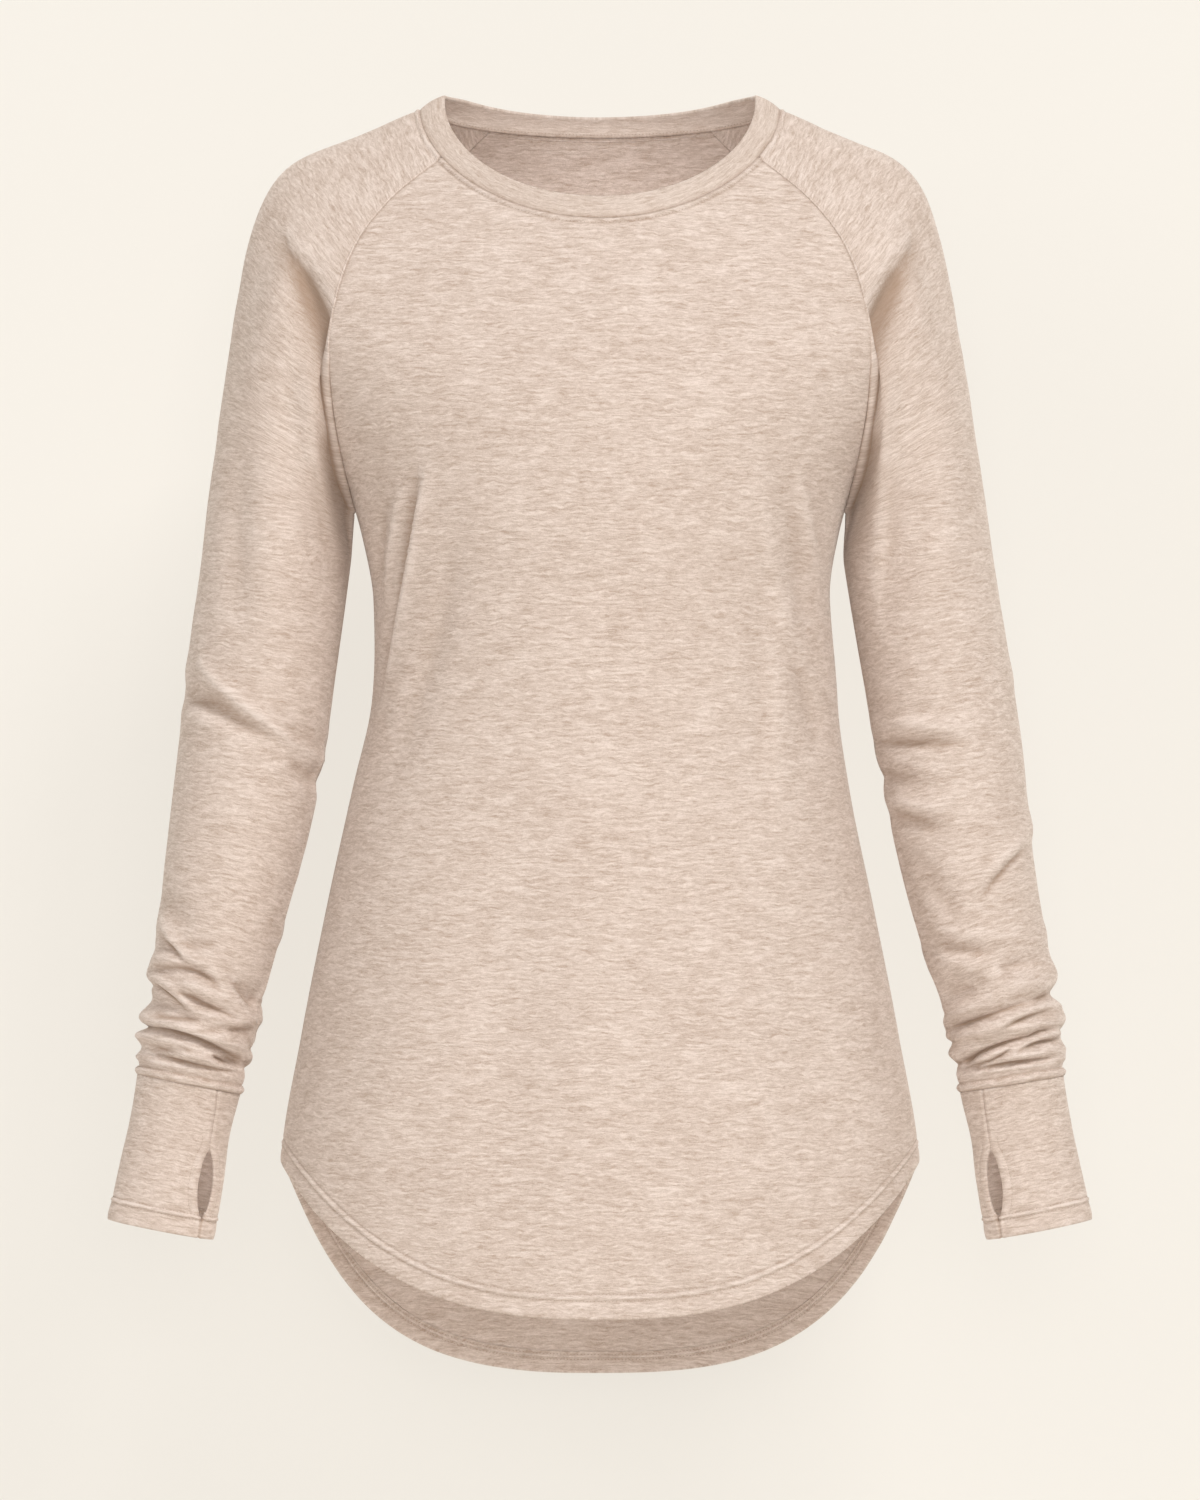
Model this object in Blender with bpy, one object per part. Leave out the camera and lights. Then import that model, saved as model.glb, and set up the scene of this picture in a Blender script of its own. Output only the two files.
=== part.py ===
"""Long-sleeved raglan tunic top in brushed knit, hollow and filled out as it is when worn.

The front faces -Y and the wearer's left is +X. The origin lies between the two points where the
neckband seam crosses the shoulders. Lengths in this file are millimetres until a mesh is made.

Each cloth piece is worked out as a net of points on its outer face. Neighbouring pieces share
their seam points, so the whole garment has one normal at each point. A piece gets its wall
along those normals, after its edges are drawn back from the seams by half the seam gap.
"""

import bpy
import numpy as np

MM = 0.001
WALL = 1.4
HEM_WALL = 2.2
BAND_WALL = 2.6
BAND_BELLY = 1.2
SEAM_GAP = 0.3
LEAST_PULL = 0.3
MIRROR = np.array([-1, 1, 1])

# Columns across a panel, rows up its yoke, and columns of a sleeve along the neckline.
PANEL_COLUMNS = 18
YOKE_ROWS = 8
SHOULDER_COLUMNS = 4
BODY_ROWS = 13
HEM_DEPTH = 16
HEM_STEP = 2

UNDERARM = -260
SIDE_CORNER = -685
FRONT_TAIL = 90
BACK_TAIL = 150
# How the hems drop from the side corners: powers of the sweep, and the share of each behind.
FRONT_TAIL_POWER = 2.75
BACK_TAIL_POWERS = (2.6, 6)
BACK_TAIL_SHARES = (0.55, 0.45)
# Folds on a panel die away over this power of the distance from its centre.
FOLD_FADE_POWER = 12

# The neckline: seam and folded edge of the neckband, as ovals seen from above.
SEAM_HALF_WIDTH, SEAM_FRONT, SEAM_BACK = 117, 80, 60
EDGE_HALF_WIDTH, EDGE_FRONT, EDGE_BACK = 101, 74, 57
SHOULDER_SEAM, SHOULDER_EDGE = -0.6, 7.8
FRONT_SEAM_DROP, FRONT_EDGE_DROP = 77, 70.7
FRONT_SEAM_POWER = 1.135
SEAM_PLATEAU, EDGE_PLATEAU = 0.6, 9.6
# Behind, the height falls from its start over the shoulders by its drop.
BACK_SEAM_START, BACK_EDGE_START = 2.4, 18.2
BACK_SEAM_DROP, BACK_EDGE_DROP = 15.4, 17.5
FRONT_RAGLAN_ANGLE = 60.2
BACK_RAGLAN_ANGLE = 141.5

# Cap of the sleeve: slope of the cloth where it leaves the neckline and where it leaves the armpit,
# and how far the lines over the shoulder hold on to the direction of the arm.
SHOULDER_SLOPE, ARMPIT_SLOPE, SLOPE_POWER = 20, 84, 2.2
CAP_FORWARD = 0.6
# The cap runs on level from the panels where its lift passes from the first value by the second.
LEVEL_FROM, LEVEL_OVER = 0.1, 0.4
ARM_PULL, SHOULDER_PULL, SHOULDER_REACH = 1.0, 1.7, 0.16
CAP_ROWS = 7
ARM_ROWS = 6
RUCHE_TOP = -560
RUCHE_ROWS = 10
SLEEVE_END = -633
CUFF_END = -727
CUFF_TWIST = 12
CUFF_SEAM_COLUMN = 3
# Half the length of arm that gives a ring its tilt.
TILT_REACH = 5

KNIT = (0.74, 0.62, 0.53, 1)
KNIT_ROUGHNESS = 0.95
SHARP_ANGLE = 50


def table(columns, *rows):
    """A table as a dictionary of its named columns."""
    return dict(zip(columns, np.array(rows, float).T))


# Half width of the body at the side seams.
SIDES = table(
    ("height", "half_width"),
    (-850, 211.5),
    (-685, 207),
    (-600, 193.4),
    (-520, 177.6),
    (-440, 160.7),
    (-385, 151),
    (-319, 148),
    (-285, 152.5),
    (-260, 159),
)

# Depth of the body at its centre lines.
PROFILE = table(
    ("height", "front", "back"),
    (-850, 133, 134),
    (-685, 127, 129),
    (-520, 116, 113),
    (-385, 109, 98),
    (-319, 112, 99),
    (-260, 119.5, 107),
    (-200, 120, 112),
    (-150, 108, 109),
    (-105, 91.5, 98),
    (-70, 76.5, 86),
    (-35, 60, 72),
    (-5, 46, 56),
)

# The raglan seams: place, and the angle through which the panel turns from its centre to the seam.
FRONT_RAGLAN = table(
    ("height", "x", "y", "turn"),
    (-260, 159, 0, 90),
    (-228, 166.5, -34, 76),
    (-190, 172, -56, 65),
    (-158, 173.5, -67, 57),
    (-127, 168, -68, 51),
    (-93, 155.8, -63, 47),
    (-64, 134.6, -54, 44),
    (-35.2, 101.5, -39.8, 41),
)
BACK_RAGLAN = table(
    ("height", "x", "y", "turn"),
    (-260, 159, 0, 90),
    (-240, 165, 28, 80),
    (-205, 169, 58, 68),
    (-165, 168, 78, 58),
    (-122, 157, 84, 50),
    (-80, 135, 80, 44),
    (-40, 105, 68, 38),
    (-9.6, 72.8, 47, 34),
)

# The arms: their centre lines, and the half width and half depth of the cloth round them.
ARM = table(
    ("height", "left_x", "right_x", "y", "half_width", "half_depth"),
    (-290, 207, 210.5, 5, 48.3, 57),
    (-350, 216.5, 218.2, 4, 48.2, 55),
    (-430, 228.8, 228.4, 1, 47.2, 52),
    (-482, 236, 237, -2, 44.6, 48),
    (-534, 247, 247, -6, 41, 43),
    (-586, 260.5, 257.5, -10, 37.2, 37),
    (-633, 266.8, 266.4, -13, 34, 28),
    (-664, 272.8, 272.8, -14, 32.8, 24.5),
    (-690, 277.3, 277.3, -15, 34.3, 24),
    (-727, 284.5, 284.5, -16, 35, 23.5),
)

# Folds are straight ridges (rise above 0) or troughs (rise below 0) with soft ends.
FOLD = ("from_across", "from_height", "to_across", "to_height", "width", "rise")

# On the front, across is x.
FRONT_FOLDS = table(
    FOLD,
    (-112, -270, -140, -380, 12, 2.5),
    (-128, -290, -147, -400, 10, -3),
    (126, -285, 146, -390, 13, -2.5),
    (95, -300, 118, -420, 22, 1.5),
)
BACK_FOLDS = table(
    FOLD,
    (-60, -300, -70, -430, 24, -3),
    (-118, -280, -140, -390, 14, -3),
    (55, -310, 62, -420, 26, -2.5),
    (122, -285, 142, -400, 14, -3),
)
# The drag crease from the sleeve's front down into the armpit, across in x from the centre.
ARMPIT_FOLDS = table(
    FOLD,
    (198, -94, 178, -160, 9, -4),
    (178, -160, 164, -235, 8, -6),
)
# Round a sleeve, across is the angle from the outer line: front 90, armpit 180, back -90.
SLEEVE_FOLDS = {}
SLEEVE_FOLDS["left"] = table(
    FOLD,
    (74, -378, 150, -400, 9, -3),
    (80, -414, 128, -414, 8, 2),
    (150, -424, 92, -464, 8, -3),
    (12, -484, 90, -513, 9, -3.5),
    (-20, -400, -150, -440, 11, -3),
    (112, -584, 180, -590, 6, -4),
    (15, -592, 105, -588, 5, -4),
    (56, -607, 180, -617, 5, -4.5),
    (-10, -580, -160, -590, 6, -4),
    (-20, -605, -170, -612, 5, -4),
    (-180, -627, 180, -627, 5, 2.5),
)
SLEEVE_FOLDS["right"] = table(
    FOLD,
    (5, -358, 172, -419, 9, 3),
    (8, -370, 60, -394, 7, -3),
    (8, -488, 85, -553, 9, -3.5),
    (-15, -392, -150, -432, 11, -3),
    (8, -538, 180, -581, 7, -3.5),
    (5, -575, 100, -581, 6, -4),
    (5, -604, 178, -619, 5, -4.5),
    (-12, -572, -165, -584, 6, -4),
    (-15, -600, -170, -610, 5, -4),
    (-180, -627, 180, -627, 5, 2.5),
)

# Along the cuff from the sleeve to its hem: where its rows lie and half the thumbhole's width there.
CUFF = table(
    ("along", "hole"),
    (0, 0),
    (0.2, 0),
    (0.44, 0),
    (0.56, 4.6),
    (0.69, 6.3),
    (0.81, 4.6),
    (0.925, 0),
    (1, 0),
)


def unit(vectors):
    """Vectors scaled to length 1."""
    return vectors / np.maximum(np.linalg.norm(vectors, axis=-1, keepdims=True), 1e-9)


def read(rows, column, height):
    """A table's column at any height, on a curve through its rows that never overshoots them."""
    order = np.argsort(rows["height"])
    heights = rows["height"][order]
    values = rows[column][order]
    steps = np.diff(heights)
    slopes = np.diff(values) / steps
    level = slopes[1:] * slopes[:-1] <= 0
    bends = 2 * slopes[1:] * slopes[:-1] / np.where(level, 1, slopes[1:] + slopes[:-1])
    slopes = np.concatenate([slopes[:1], np.where(level, 0, bends), slopes[-1:]])
    below = np.clip(np.searchsorted(heights, height) - 1, 0, len(steps) - 1)
    step = steps[below]
    part = (height - heights[below]) / step
    rest = 1 - part
    start = rest * rest * ((1 + 2 * part) * values[below] + part * step * slopes[below])
    end = part * part * ((3 - 2 * part) * values[below + 1] - rest * step * slopes[below + 1])
    return start + end


def lowest(*heights):
    """The least of several heights, with the corner between them rounded off by about a millimetre."""
    return -np.log(sum(np.exp(-height) for height in heights))


def fold_rise(folds, across, height):
    """How far the folds lift the cloth at a place on a piece."""
    rise = np.zeros_like(height)
    for i in range(len(folds["rise"])):
        start = np.array([folds["from_across"][i], folds["from_height"][i]])
        line = np.array([folds["to_across"][i], folds["to_height"][i]]) - start
        part = (across - start[0]) * line[0] + (height - start[1]) * line[1]
        part = np.clip(part / (line @ line), 0, 1)
        off = np.hypot(across - start[0] - part * line[0], height - start[1] - part * line[1])
        rise += folds["rise"][i] * np.exp(-((off / folds["width"][i]) ** 2))
    return rise


def neck_seam(angle):
    """The seam under the neckband. The angle is 0 at centre front and 180 at centre back."""
    turn = np.radians(angle)
    back = -np.cos(turn)
    depth = np.where(back < 0, SEAM_FRONT, SEAM_BACK)
    rising = SHOULDER_SEAM + FRONT_SEAM_DROP * np.sign(back) * np.abs(back) ** FRONT_SEAM_POWER
    falling = BACK_SEAM_START - BACK_SEAM_DROP * back
    height = lowest(rising, SEAM_PLATEAU + 0 * back, falling)
    return np.stack([SEAM_HALF_WIDTH * np.sin(turn), depth * back, height], -1)


def neck_edge(angle):
    """The folded edge of the neckband, which is the neck opening."""
    turn = np.radians(angle)
    back = -np.cos(turn)
    depth = np.where(back < 0, EDGE_FRONT, EDGE_BACK)
    rising = SHOULDER_EDGE + FRONT_EDGE_DROP * back
    falling = BACK_EDGE_START - BACK_EDGE_DROP * back
    height = lowest(rising, EDGE_PLATEAU + 0 * back, falling)
    return np.stack([EDGE_HALF_WIDTH * np.sin(turn), depth * back, height], -1)


def hem_height(sweep, front):
    """Height of the shirt-tail hem, where the sweep runs from 0 at the centre to 1 at the side."""
    side = np.abs(np.sin(np.radians(90 * sweep)))
    if front:
        return SIDE_CORNER - FRONT_TAIL * (1 - side**FRONT_TAIL_POWER)
    rise = sum(share * side**power for share, power in zip(BACK_TAIL_SHARES, BACK_TAIL_POWERS))
    return SIDE_CORNER - BACK_TAIL * (1 - rise)


def net_quads(rows, columns, flip=False):
    """The faces of a net of points, rows by columns."""
    first = np.arange(rows * columns).reshape(rows, columns)
    corners = (first[:-1, :-1], first[:-1, 1:], first[1:, 1:], first[1:, :-1])
    quads = np.stack([corner.ravel() for corner in corners], -1)
    return quads[:, ::-1] if flip else quads


def net_normals(net, flip=False, tube=False):
    """Normals of a net of points from the directions of its rows and columns."""
    if tube:
        net = np.concatenate([net[:, -2:-1], net, net[:, 1:2]], axis=1)
    normals = unit(np.cross(np.gradient(net, axis=1), np.gradient(net, axis=0)))
    if tube:
        normals = normals[:, 1:-1]
    return -normals if flip else normals


def yoke_reach(raglan, depth_column, x, height):
    """How far the yoke stands out from the middle of the body at a place on it."""
    seam_x = read(raglan, "x", height)
    seam_y = np.abs(read(raglan, "y", height))
    depth = read(PROFILE, depth_column, height)
    limit = np.radians(read(raglan, "turn", height))
    bend = np.arcsin(np.clip(np.abs(x) / seam_x, 0, 1) * np.sin(limit))
    return seam_y + (depth - seam_y) * (np.cos(bend) - np.cos(limit)) / (1 - np.cos(limit))


def panel_net(front):
    """Outer face of the front or back: rows from the hem up to the neckline, columns across."""
    raglan = FRONT_RAGLAN if front else BACK_RAGLAN
    facing = -1 if front else 1
    depth_column = "front" if front else "back"
    sweep = np.linspace(-1, 1, PANEL_COLUMNS + 1)
    turn = np.radians(90 * sweep)
    hem = hem_height(sweep, front)
    above_hem = hem + HEM_DEPTH + HEM_STEP
    rows = []
    for height in (hem, hem + HEM_DEPTH, *np.linspace(above_hem, UNDERARM, BODY_ROWS)):
        x = read(SIDES, "half_width", height + 0 * sweep) * np.sin(turn)
        y = facing * read(PROFILE, depth_column, height + 0 * sweep) * np.cos(turn)
        rows.append(np.stack([x, y, height + 0 * sweep], -1))

    corner = FRONT_RAGLAN_ANGLE if front else 180 - BACK_RAGLAN_ANGLE
    neckline = neck_seam(corner * sweep if front else 180 - corner * sweep)
    armpit = read(SIDES, "half_width", UNDERARM)
    top = raglan["height"].max()
    for part in np.arange(1, YOKE_ROWS + 1) / YOKE_ROWS:
        seam_height = UNDERARM + (top - UNDERARM) * part
        seam_x = read(raglan, "x", seam_height)
        x = (1 - part) * armpit * np.sin(turn) + part * neckline[:, 0]
        x += sweep * (seam_x - (1 - part) * armpit - part * neckline[-1, 0])
        height = seam_height + part * (neckline[:, 2] - neckline[-1, 2])
        reach = yoke_reach(raglan, depth_column, x, height)
        neckline_reach = yoke_reach(raglan, depth_column, neckline[:, 0], neckline[:, 2])
        gap = facing * neckline[:, 1] - neckline_reach
        rows.append(np.stack([x, facing * (reach + part**2 * gap), height], -1))
    return np.array(rows)


def folded_panel(front):
    """The panel's net with its folds, which fade out before the seams."""
    net = panel_net(front)
    folds = FRONT_FOLDS if front else BACK_FOLDS
    fade = 1 - np.abs(np.linspace(-1, 1, PANEL_COLUMNS + 1)) ** FOLD_FADE_POWER
    rise = fold_rise(folds, net[..., 0], net[..., 2]) * fade
    return net + net_normals(net, not front) * rise[..., None]


def arm_middle(side, height):
    """A point on an arm's centre line, laid out on the wearer's left."""
    return np.array([read(ARM, side + "_x", height), read(ARM, "y", height), height])


def arm_ring(side, height, angles):
    """One ring of cloth round an arm, square to its centre line, laid out on the wearer's left."""
    down = unit(arm_middle(side, height - TILT_REACH) - arm_middle(side, height + TILT_REACH))
    outward = unit(np.array([1, 0, 0]) - down[0] * down)
    forward = np.cross(down, outward)
    turn = np.radians(angles)[:, None]
    across = read(ARM, "half_width", height) * np.cos(turn) * outward
    through = read(ARM, "half_depth", height) * np.sin(turn) * forward
    return arm_middle(side, height) + across + through


def sleeve_angles():
    """The angle of each column round the arm: 180 at the armpit, 90 in front, 0 outside, -90 behind."""
    return np.linspace(180, -180, 2 * YOKE_ROWS + SHOULDER_COLUMNS + 1)


def raglan_loop(front, back):
    """The sleeve's upper edge: up the front seam, over the shoulder and down the back seam."""
    up = front[-YOKE_ROWS - 1 :, -1]
    over = np.linspace(FRONT_RAGLAN_ANGLE, BACK_RAGLAN_ANGLE, SHOULDER_COLUMNS + 1)[1:-1]
    down = back[-YOKE_ROWS - 1 :, -1][::-1]
    return np.concatenate([up, neck_seam(over), down])


def sleeve_net(side, front, back):
    """Outer face of a sleeve, laid out on the wearer's left.

    Rows run from the raglan seams down to the cuff, columns round the arm.
    """
    angles = sleeve_angles()
    turn = np.radians(angles)
    loop = raglan_loop(front, back)
    top = ARM["height"].max()
    biceps = arm_ring(side, top, angles)
    arm_way = unit(arm_ring(side, top - TILT_REACH, angles) - biceps)
    lift = (1 + np.cos(turn)) / 2
    slope = np.radians(SHOULDER_SLOPE + (ARMPIT_SLOPE - SHOULDER_SLOPE) * (1 - lift) ** SLOPE_POWER)
    forward = -CAP_FORWARD * np.sin(turn) * (1 - lift) ** 2
    leave = unit(np.stack([np.cos(slope), forward, -np.sin(slope)], -1))
    seam = slice(-YOKE_ROWS - 1, None)
    front_normals = net_normals(front)[seam, -1]
    back_normals = net_normals(back, True)[seam, -1][::-1]
    normals = np.concatenate([front_normals, np.zeros((SHOULDER_COLUMNS - 1, 3)), back_normals])
    level = np.clip((lift - LEVEL_FROM) / LEVEL_OVER, 0, 1)[:, None]
    leave = unit(leave - level * normals * (leave * normals).sum(-1, keepdims=True))
    chord = np.linalg.norm(biceps - loop, axis=-1)[:, None]
    start_pull = chord * (1 + SHOULDER_REACH * lift)[:, None] * leave
    end_pull = chord * (ARM_PULL + SHOULDER_PULL * lift)[:, None] * arm_way
    rows = []
    for part in np.arange(CAP_ROWS + 1) / CAP_ROWS:
        rest = 1 - part
        start = rest * rest * ((1 + 2 * part) * loop + part * start_pull)
        end = part * part * ((3 - 2 * part) * biceps - rest * end_pull)
        rows.append(start + end)
    arm = np.linspace(top, RUCHE_TOP, ARM_ROWS + 1)[1:]
    ruche = np.linspace(RUCHE_TOP, SLEEVE_END, RUCHE_ROWS + 1)[1:]
    centres = np.concatenate([arm, ruche])
    rows += [arm_ring(side, height, angles) for height in centres]
    net = np.array(rows)

    rise = fold_rise(ARMPIT_FOLDS, net[..., 0], net[..., 2]) * (net[..., 1] < 0)
    rings = net[CAP_ROWS + 1 :]
    for shift in (-360, 0, 360):
        across = np.broadcast_to(angles + shift, rings.shape[:2])
        rise[CAP_ROWS + 1 :] += fold_rise(SLEEVE_FOLDS[side], across, centres[:, None] + 0 * across)
    rise[0] = 0
    rise[-1] = 0
    rise[:, [0, -1]] = rise[:, [0, -1]].mean(axis=1, keepdims=True)
    return net + net_normals(net, True, tube=True) * rise[..., None]


def cuff_net(side):
    """Outer face of a cuff, laid out on the wearer's left and open along its seam for the thumbhole."""
    angles = np.roll(sleeve_angles()[:-1], -CUFF_SEAM_COLUMN)
    angles = np.append(angles, angles[0])
    rows = []
    for along, hole in zip(CUFF["along"], CUFF["hole"]):
        height = SLEEVE_END + (CUFF_END - SLEEVE_END) * along
        ring_angles = angles + CUFF_TWIST * along**0.5
        hole_turn = np.degrees(hole / read(ARM, "half_width", height))
        ring_angles[0] -= hole_turn
        ring_angles[-1] += hole_turn
        rows.append(arm_ring(side, height, ring_angles))
    return np.array(rows)


def band_net(front, back):
    """Outer face of the neckband: rows from its seam up to its folded edge, columns round the neck."""
    over = np.linspace(FRONT_RAGLAN_ANGLE, BACK_RAGLAN_ANGLE, SHOULDER_COLUMNS + 1)[1:-1]
    across = np.linspace(-1, 1, PANEL_COLUMNS + 1)
    front_angles = FRONT_RAGLAN_ANGLE * across
    back_angles = 180 + (180 - BACK_RAGLAN_ANGLE) * across
    angles = np.concatenate([front_angles, over, back_angles, 360 - over[::-1], front_angles[:1] + 360])
    seam = neck_seam(angles)
    seam[: PANEL_COLUMNS + 1] = front[-1]
    start = PANEL_COLUMNS + SHOULDER_COLUMNS
    seam[start : start + PANEL_COLUMNS + 1] = back[-1, ::-1]
    seam[-1] = seam[0]
    edge = neck_edge(angles)
    middle = (seam + edge) / 2
    along = np.roll(middle[:-1], -1, axis=0) - np.roll(middle[:-1], 1, axis=0)
    along = np.append(along, along[:1], axis=0)
    out = unit(np.cross(along, edge - seam))
    return np.array([seam, middle + out * BAND_BELLY, edge])


def welded(net, quads):
    """Points of a net with doubles made one, and its faces on them."""
    points = net.reshape(-1, 3)
    _, first, index = np.unique(np.round(points, 3), axis=0, return_index=True, return_inverse=True)
    return points[first], index.ravel()[quads]


def point_normals(points, quads):
    """Normals at the points from the faces round them."""
    corners = points[quads]
    faces = unit(np.cross(corners[:, 2] - corners[:, 0], corners[:, 3] - corners[:, 1]))
    normals = np.zeros_like(points)
    for corner in range(4):
        np.add.at(normals, quads[:, corner], faces)
    return unit(normals)


def garment_normals(pieces):
    """For each piece, the whole garment's normals at its points.

    At the two armpit points the body's cloth and the sleeve's stand back to back, so the normal
    there is straight down.
    """
    points = np.concatenate([points for points, _ in pieces.values()])
    starts = np.cumsum([0] + [len(points) for points, _ in pieces.values()])
    quads = np.concatenate([start + quads for start, (_, quads) in zip(starts, pieces.values())])
    _, first, index = np.unique(np.round(points, 2), axis=0, return_index=True, return_inverse=True)
    index = index.ravel()
    normals = point_normals(points[first], index[quads])[index]
    armpit = np.array([read(SIDES, "half_width", UNDERARM), 0, UNDERARM])
    on_left = np.where(points[:, :1] < 0, MIRROR, 1) * points
    normals[np.linalg.norm(on_left - armpit, axis=1) < SEAM_GAP] = (0, 0, -1)
    return {name: normals[starts[i] : starts[i + 1]] for i, name in enumerate(pieces)}


def border(quads):
    """Edges of the net that have a face on one side only, in the direction of that face."""
    edges = np.concatenate([quads[:, [i, (i + 1) % 4]] for i in range(4)])
    _, index, count = np.unique(np.sort(edges, axis=1), axis=0, return_inverse=True, return_counts=True)
    return edges[count[index.ravel()] == 1]


def drawn_back(points, quads, normals):
    """The points with the piece's edges drawn in by half the seam gap."""
    edges = border(quads)
    way = unit(points[edges[:, 1]] - points[edges[:, 0]])
    middle_normals = normals[edges[:, 0]] + normals[edges[:, 1]]
    inward = unit(np.cross(middle_normals, way))
    pull = np.zeros_like(points)
    for end in range(2):
        np.add.at(pull, edges[:, end], inward)
    # A point on a straight edge has two equal pulls, and one in a corner has pulls that turn.
    square = (pull * pull).sum(-1, keepdims=True)
    return points + SEAM_GAP * np.where(square > 0, pull / np.maximum(square, LEAST_PULL), 0)


def cut_quads(points, quads):
    """Each face cut in two along its shorter diagonal."""
    one = np.linalg.norm(points[quads[:, 0]] - points[quads[:, 2]], axis=1)
    other = np.linalg.norm(points[quads[:, 1]] - points[quads[:, 3]], axis=1)
    turned = np.where((one < other - 0.01)[:, None], quads, np.roll(quads, -1, axis=1))
    return np.concatenate([turned[:, [0, 1, 2]], turned[:, [0, 2, 3]]])


def rim(points, edges):
    """Triangles that close a piece's edges, cut the same way on both sides of a seam."""
    triangles = []
    inner = len(points)
    for start, end in edges.tolist():
        if tuple(points[start].round(2)[::-1]) < tuple(points[end].round(2)[::-1]):
            triangles += [(end, start, end + inner), (start, start + inner, end + inner)]
        else:
            triangles += [(end, start, start + inner), (end, start + inner, end + inner)]
    return triangles


def make_piece(name, points, quads, normals, wall):
    """A closed cloth piece with its wall inside its outer face."""
    outer = drawn_back(points, quads, normals)
    inner = outer - normals * np.broadcast_to(wall, len(points))[:, None]
    skin = cut_quads(points, quads)
    lining = skin[:, ::-1] + len(points)
    faces = np.concatenate([skin, lining, rim(points, border(quads))]).tolist()
    mesh = bpy.data.meshes.new(name)
    mesh.from_pydata((np.concatenate([outer, inner]) * MM).tolist(), [], faces)
    mesh.materials.append(knit_material(name))
    mesh.shade_smooth()
    mesh.set_sharp_from_angle(angle=np.radians(SHARP_ANGLE))
    piece = bpy.data.objects.new(name, mesh)
    bpy.context.scene.collection.objects.link(piece)


def knit_material(name):
    """Oatmeal brushed knit."""
    material = bpy.data.materials.new(name + "_knit")
    material.use_nodes = True
    surface = material.node_tree.nodes["Principled BSDF"]
    surface.inputs["Base Color"].default_value = KNIT
    surface.inputs["Roughness"].default_value = KNIT_ROUGHNESS
    surface.inputs["Metallic"].default_value = 0
    material.diffuse_color = KNIT
    return material


def clear_scene():
    for item in list(bpy.data.objects):
        bpy.data.objects.remove(item)


def tunic_pieces():
    """Each piece's outer points and faces."""
    front = folded_panel(True)
    back = folded_panel(False)
    nets = {
        "front_panel": (front, False),
        "back_panel": (back, True),
        "neckband": (band_net(front, back), False),
        "sleeve_left": (sleeve_net("left", front, back), True),
        "sleeve_right": (sleeve_net("right", front, back) * MIRROR, False),
        "cuff_left": (cuff_net("left"), True),
        "cuff_right": (cuff_net("right") * MIRROR, False),
    }
    pieces = {}
    for name, (net, flip) in nets.items():
        pieces[name] = welded(net, net_quads(*net.shape[:2], flip))
    return pieces


def walls(name, points):
    """Wall thickness at a piece's points: the neckband and the hems are two layers of cloth."""
    if name == "neckband":
        return BAND_WALL
    if not name.endswith("_panel"):
        return WALL
    half_width = read(SIDES, "half_width", points[:, 2])
    sweep = np.degrees(np.arcsin(np.clip(points[:, 0] / half_width, -1, 1))) / 90
    above_hem = points[:, 2] - hem_height(sweep, name == "front_panel")
    return np.where(above_hem < HEM_DEPTH + HEM_STEP / 2, HEM_WALL, WALL)


def main():
    clear_scene()
    pieces = tunic_pieces()
    normals = garment_normals(pieces)
    for name, (points, quads) in pieces.items():
        make_piece(name, points, quads, normals[name], walls(name, points))


main()
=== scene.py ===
"""Looks of a long-sleeved raglan tunic top in brushed oatmeal knit.

The front faces -Y and the wearer's left is +X. Lengths are millimetres until a mesh is made.

A cloth piece starts as a net of points, rows by columns, on the surface that its CAD solid has.
The net is then spaced finely at its edges, folded, given its seams and hems, and closed into a
wall with rounded edges. Every point carries its place in the knit too, so that the streaks run
along the courses of each piece.
"""

import bpy
import numpy as np
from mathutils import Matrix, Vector, noise


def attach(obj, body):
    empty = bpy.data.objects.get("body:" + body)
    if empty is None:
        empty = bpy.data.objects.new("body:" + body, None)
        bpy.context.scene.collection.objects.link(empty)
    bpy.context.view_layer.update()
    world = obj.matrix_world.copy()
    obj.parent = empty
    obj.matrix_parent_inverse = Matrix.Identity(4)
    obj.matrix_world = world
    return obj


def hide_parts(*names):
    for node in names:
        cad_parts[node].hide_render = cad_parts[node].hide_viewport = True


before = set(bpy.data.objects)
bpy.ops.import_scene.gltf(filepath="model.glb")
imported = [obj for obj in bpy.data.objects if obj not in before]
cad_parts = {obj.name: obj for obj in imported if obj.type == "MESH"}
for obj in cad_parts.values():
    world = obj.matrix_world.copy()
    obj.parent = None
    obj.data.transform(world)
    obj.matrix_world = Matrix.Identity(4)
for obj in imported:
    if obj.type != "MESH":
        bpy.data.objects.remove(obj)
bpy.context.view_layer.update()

MM = 0.001
MIRROR = np.array([-1, 1, 1])

# Walls: one layer of cloth, the doubled hems, and the neckband folded over its seam.
WALL = 1.3
HEM_WALL = 2.1
BAND_WALL = 2.4
# How far the neckband swells between its seam and its folded edge.
BAND_BELLY = 1.2
# Two pieces overlap by this at their seam, so that no light shows through it.
SEAM_OVERLAP = 0.25
SEAM_INSET = (WALL - SEAM_OVERLAP) / 2
# The edges of a wall: steps round them, and how round they are, where 1 is a half circle.
ROUNDING = 4
SQUARENESS = 0.6
# How widely a point is compared with the cloth round it, and the depth of a crease that gets the
# full painted shade.
CREASE_SPREAD = 10
CREASE_DEPTH = 2.2

# Columns across a panel, rows up its body and its yoke, and columns of a sleeve at the neckline.
PANEL_COLUMNS = 170
BODY_ROWS = 140
YOKE_ROWS = 56
SHOULDER_COLUMNS = 28
SLEEVE_COLUMNS = 2 * YOKE_ROWS + SHOULDER_COLUMNS
CAP_ROWS = 92
CUFF_ROWS = 52
CUFF_COLUMNS = 96
BAND_COLUMNS = 420
BAND_ROWS = 12

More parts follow.
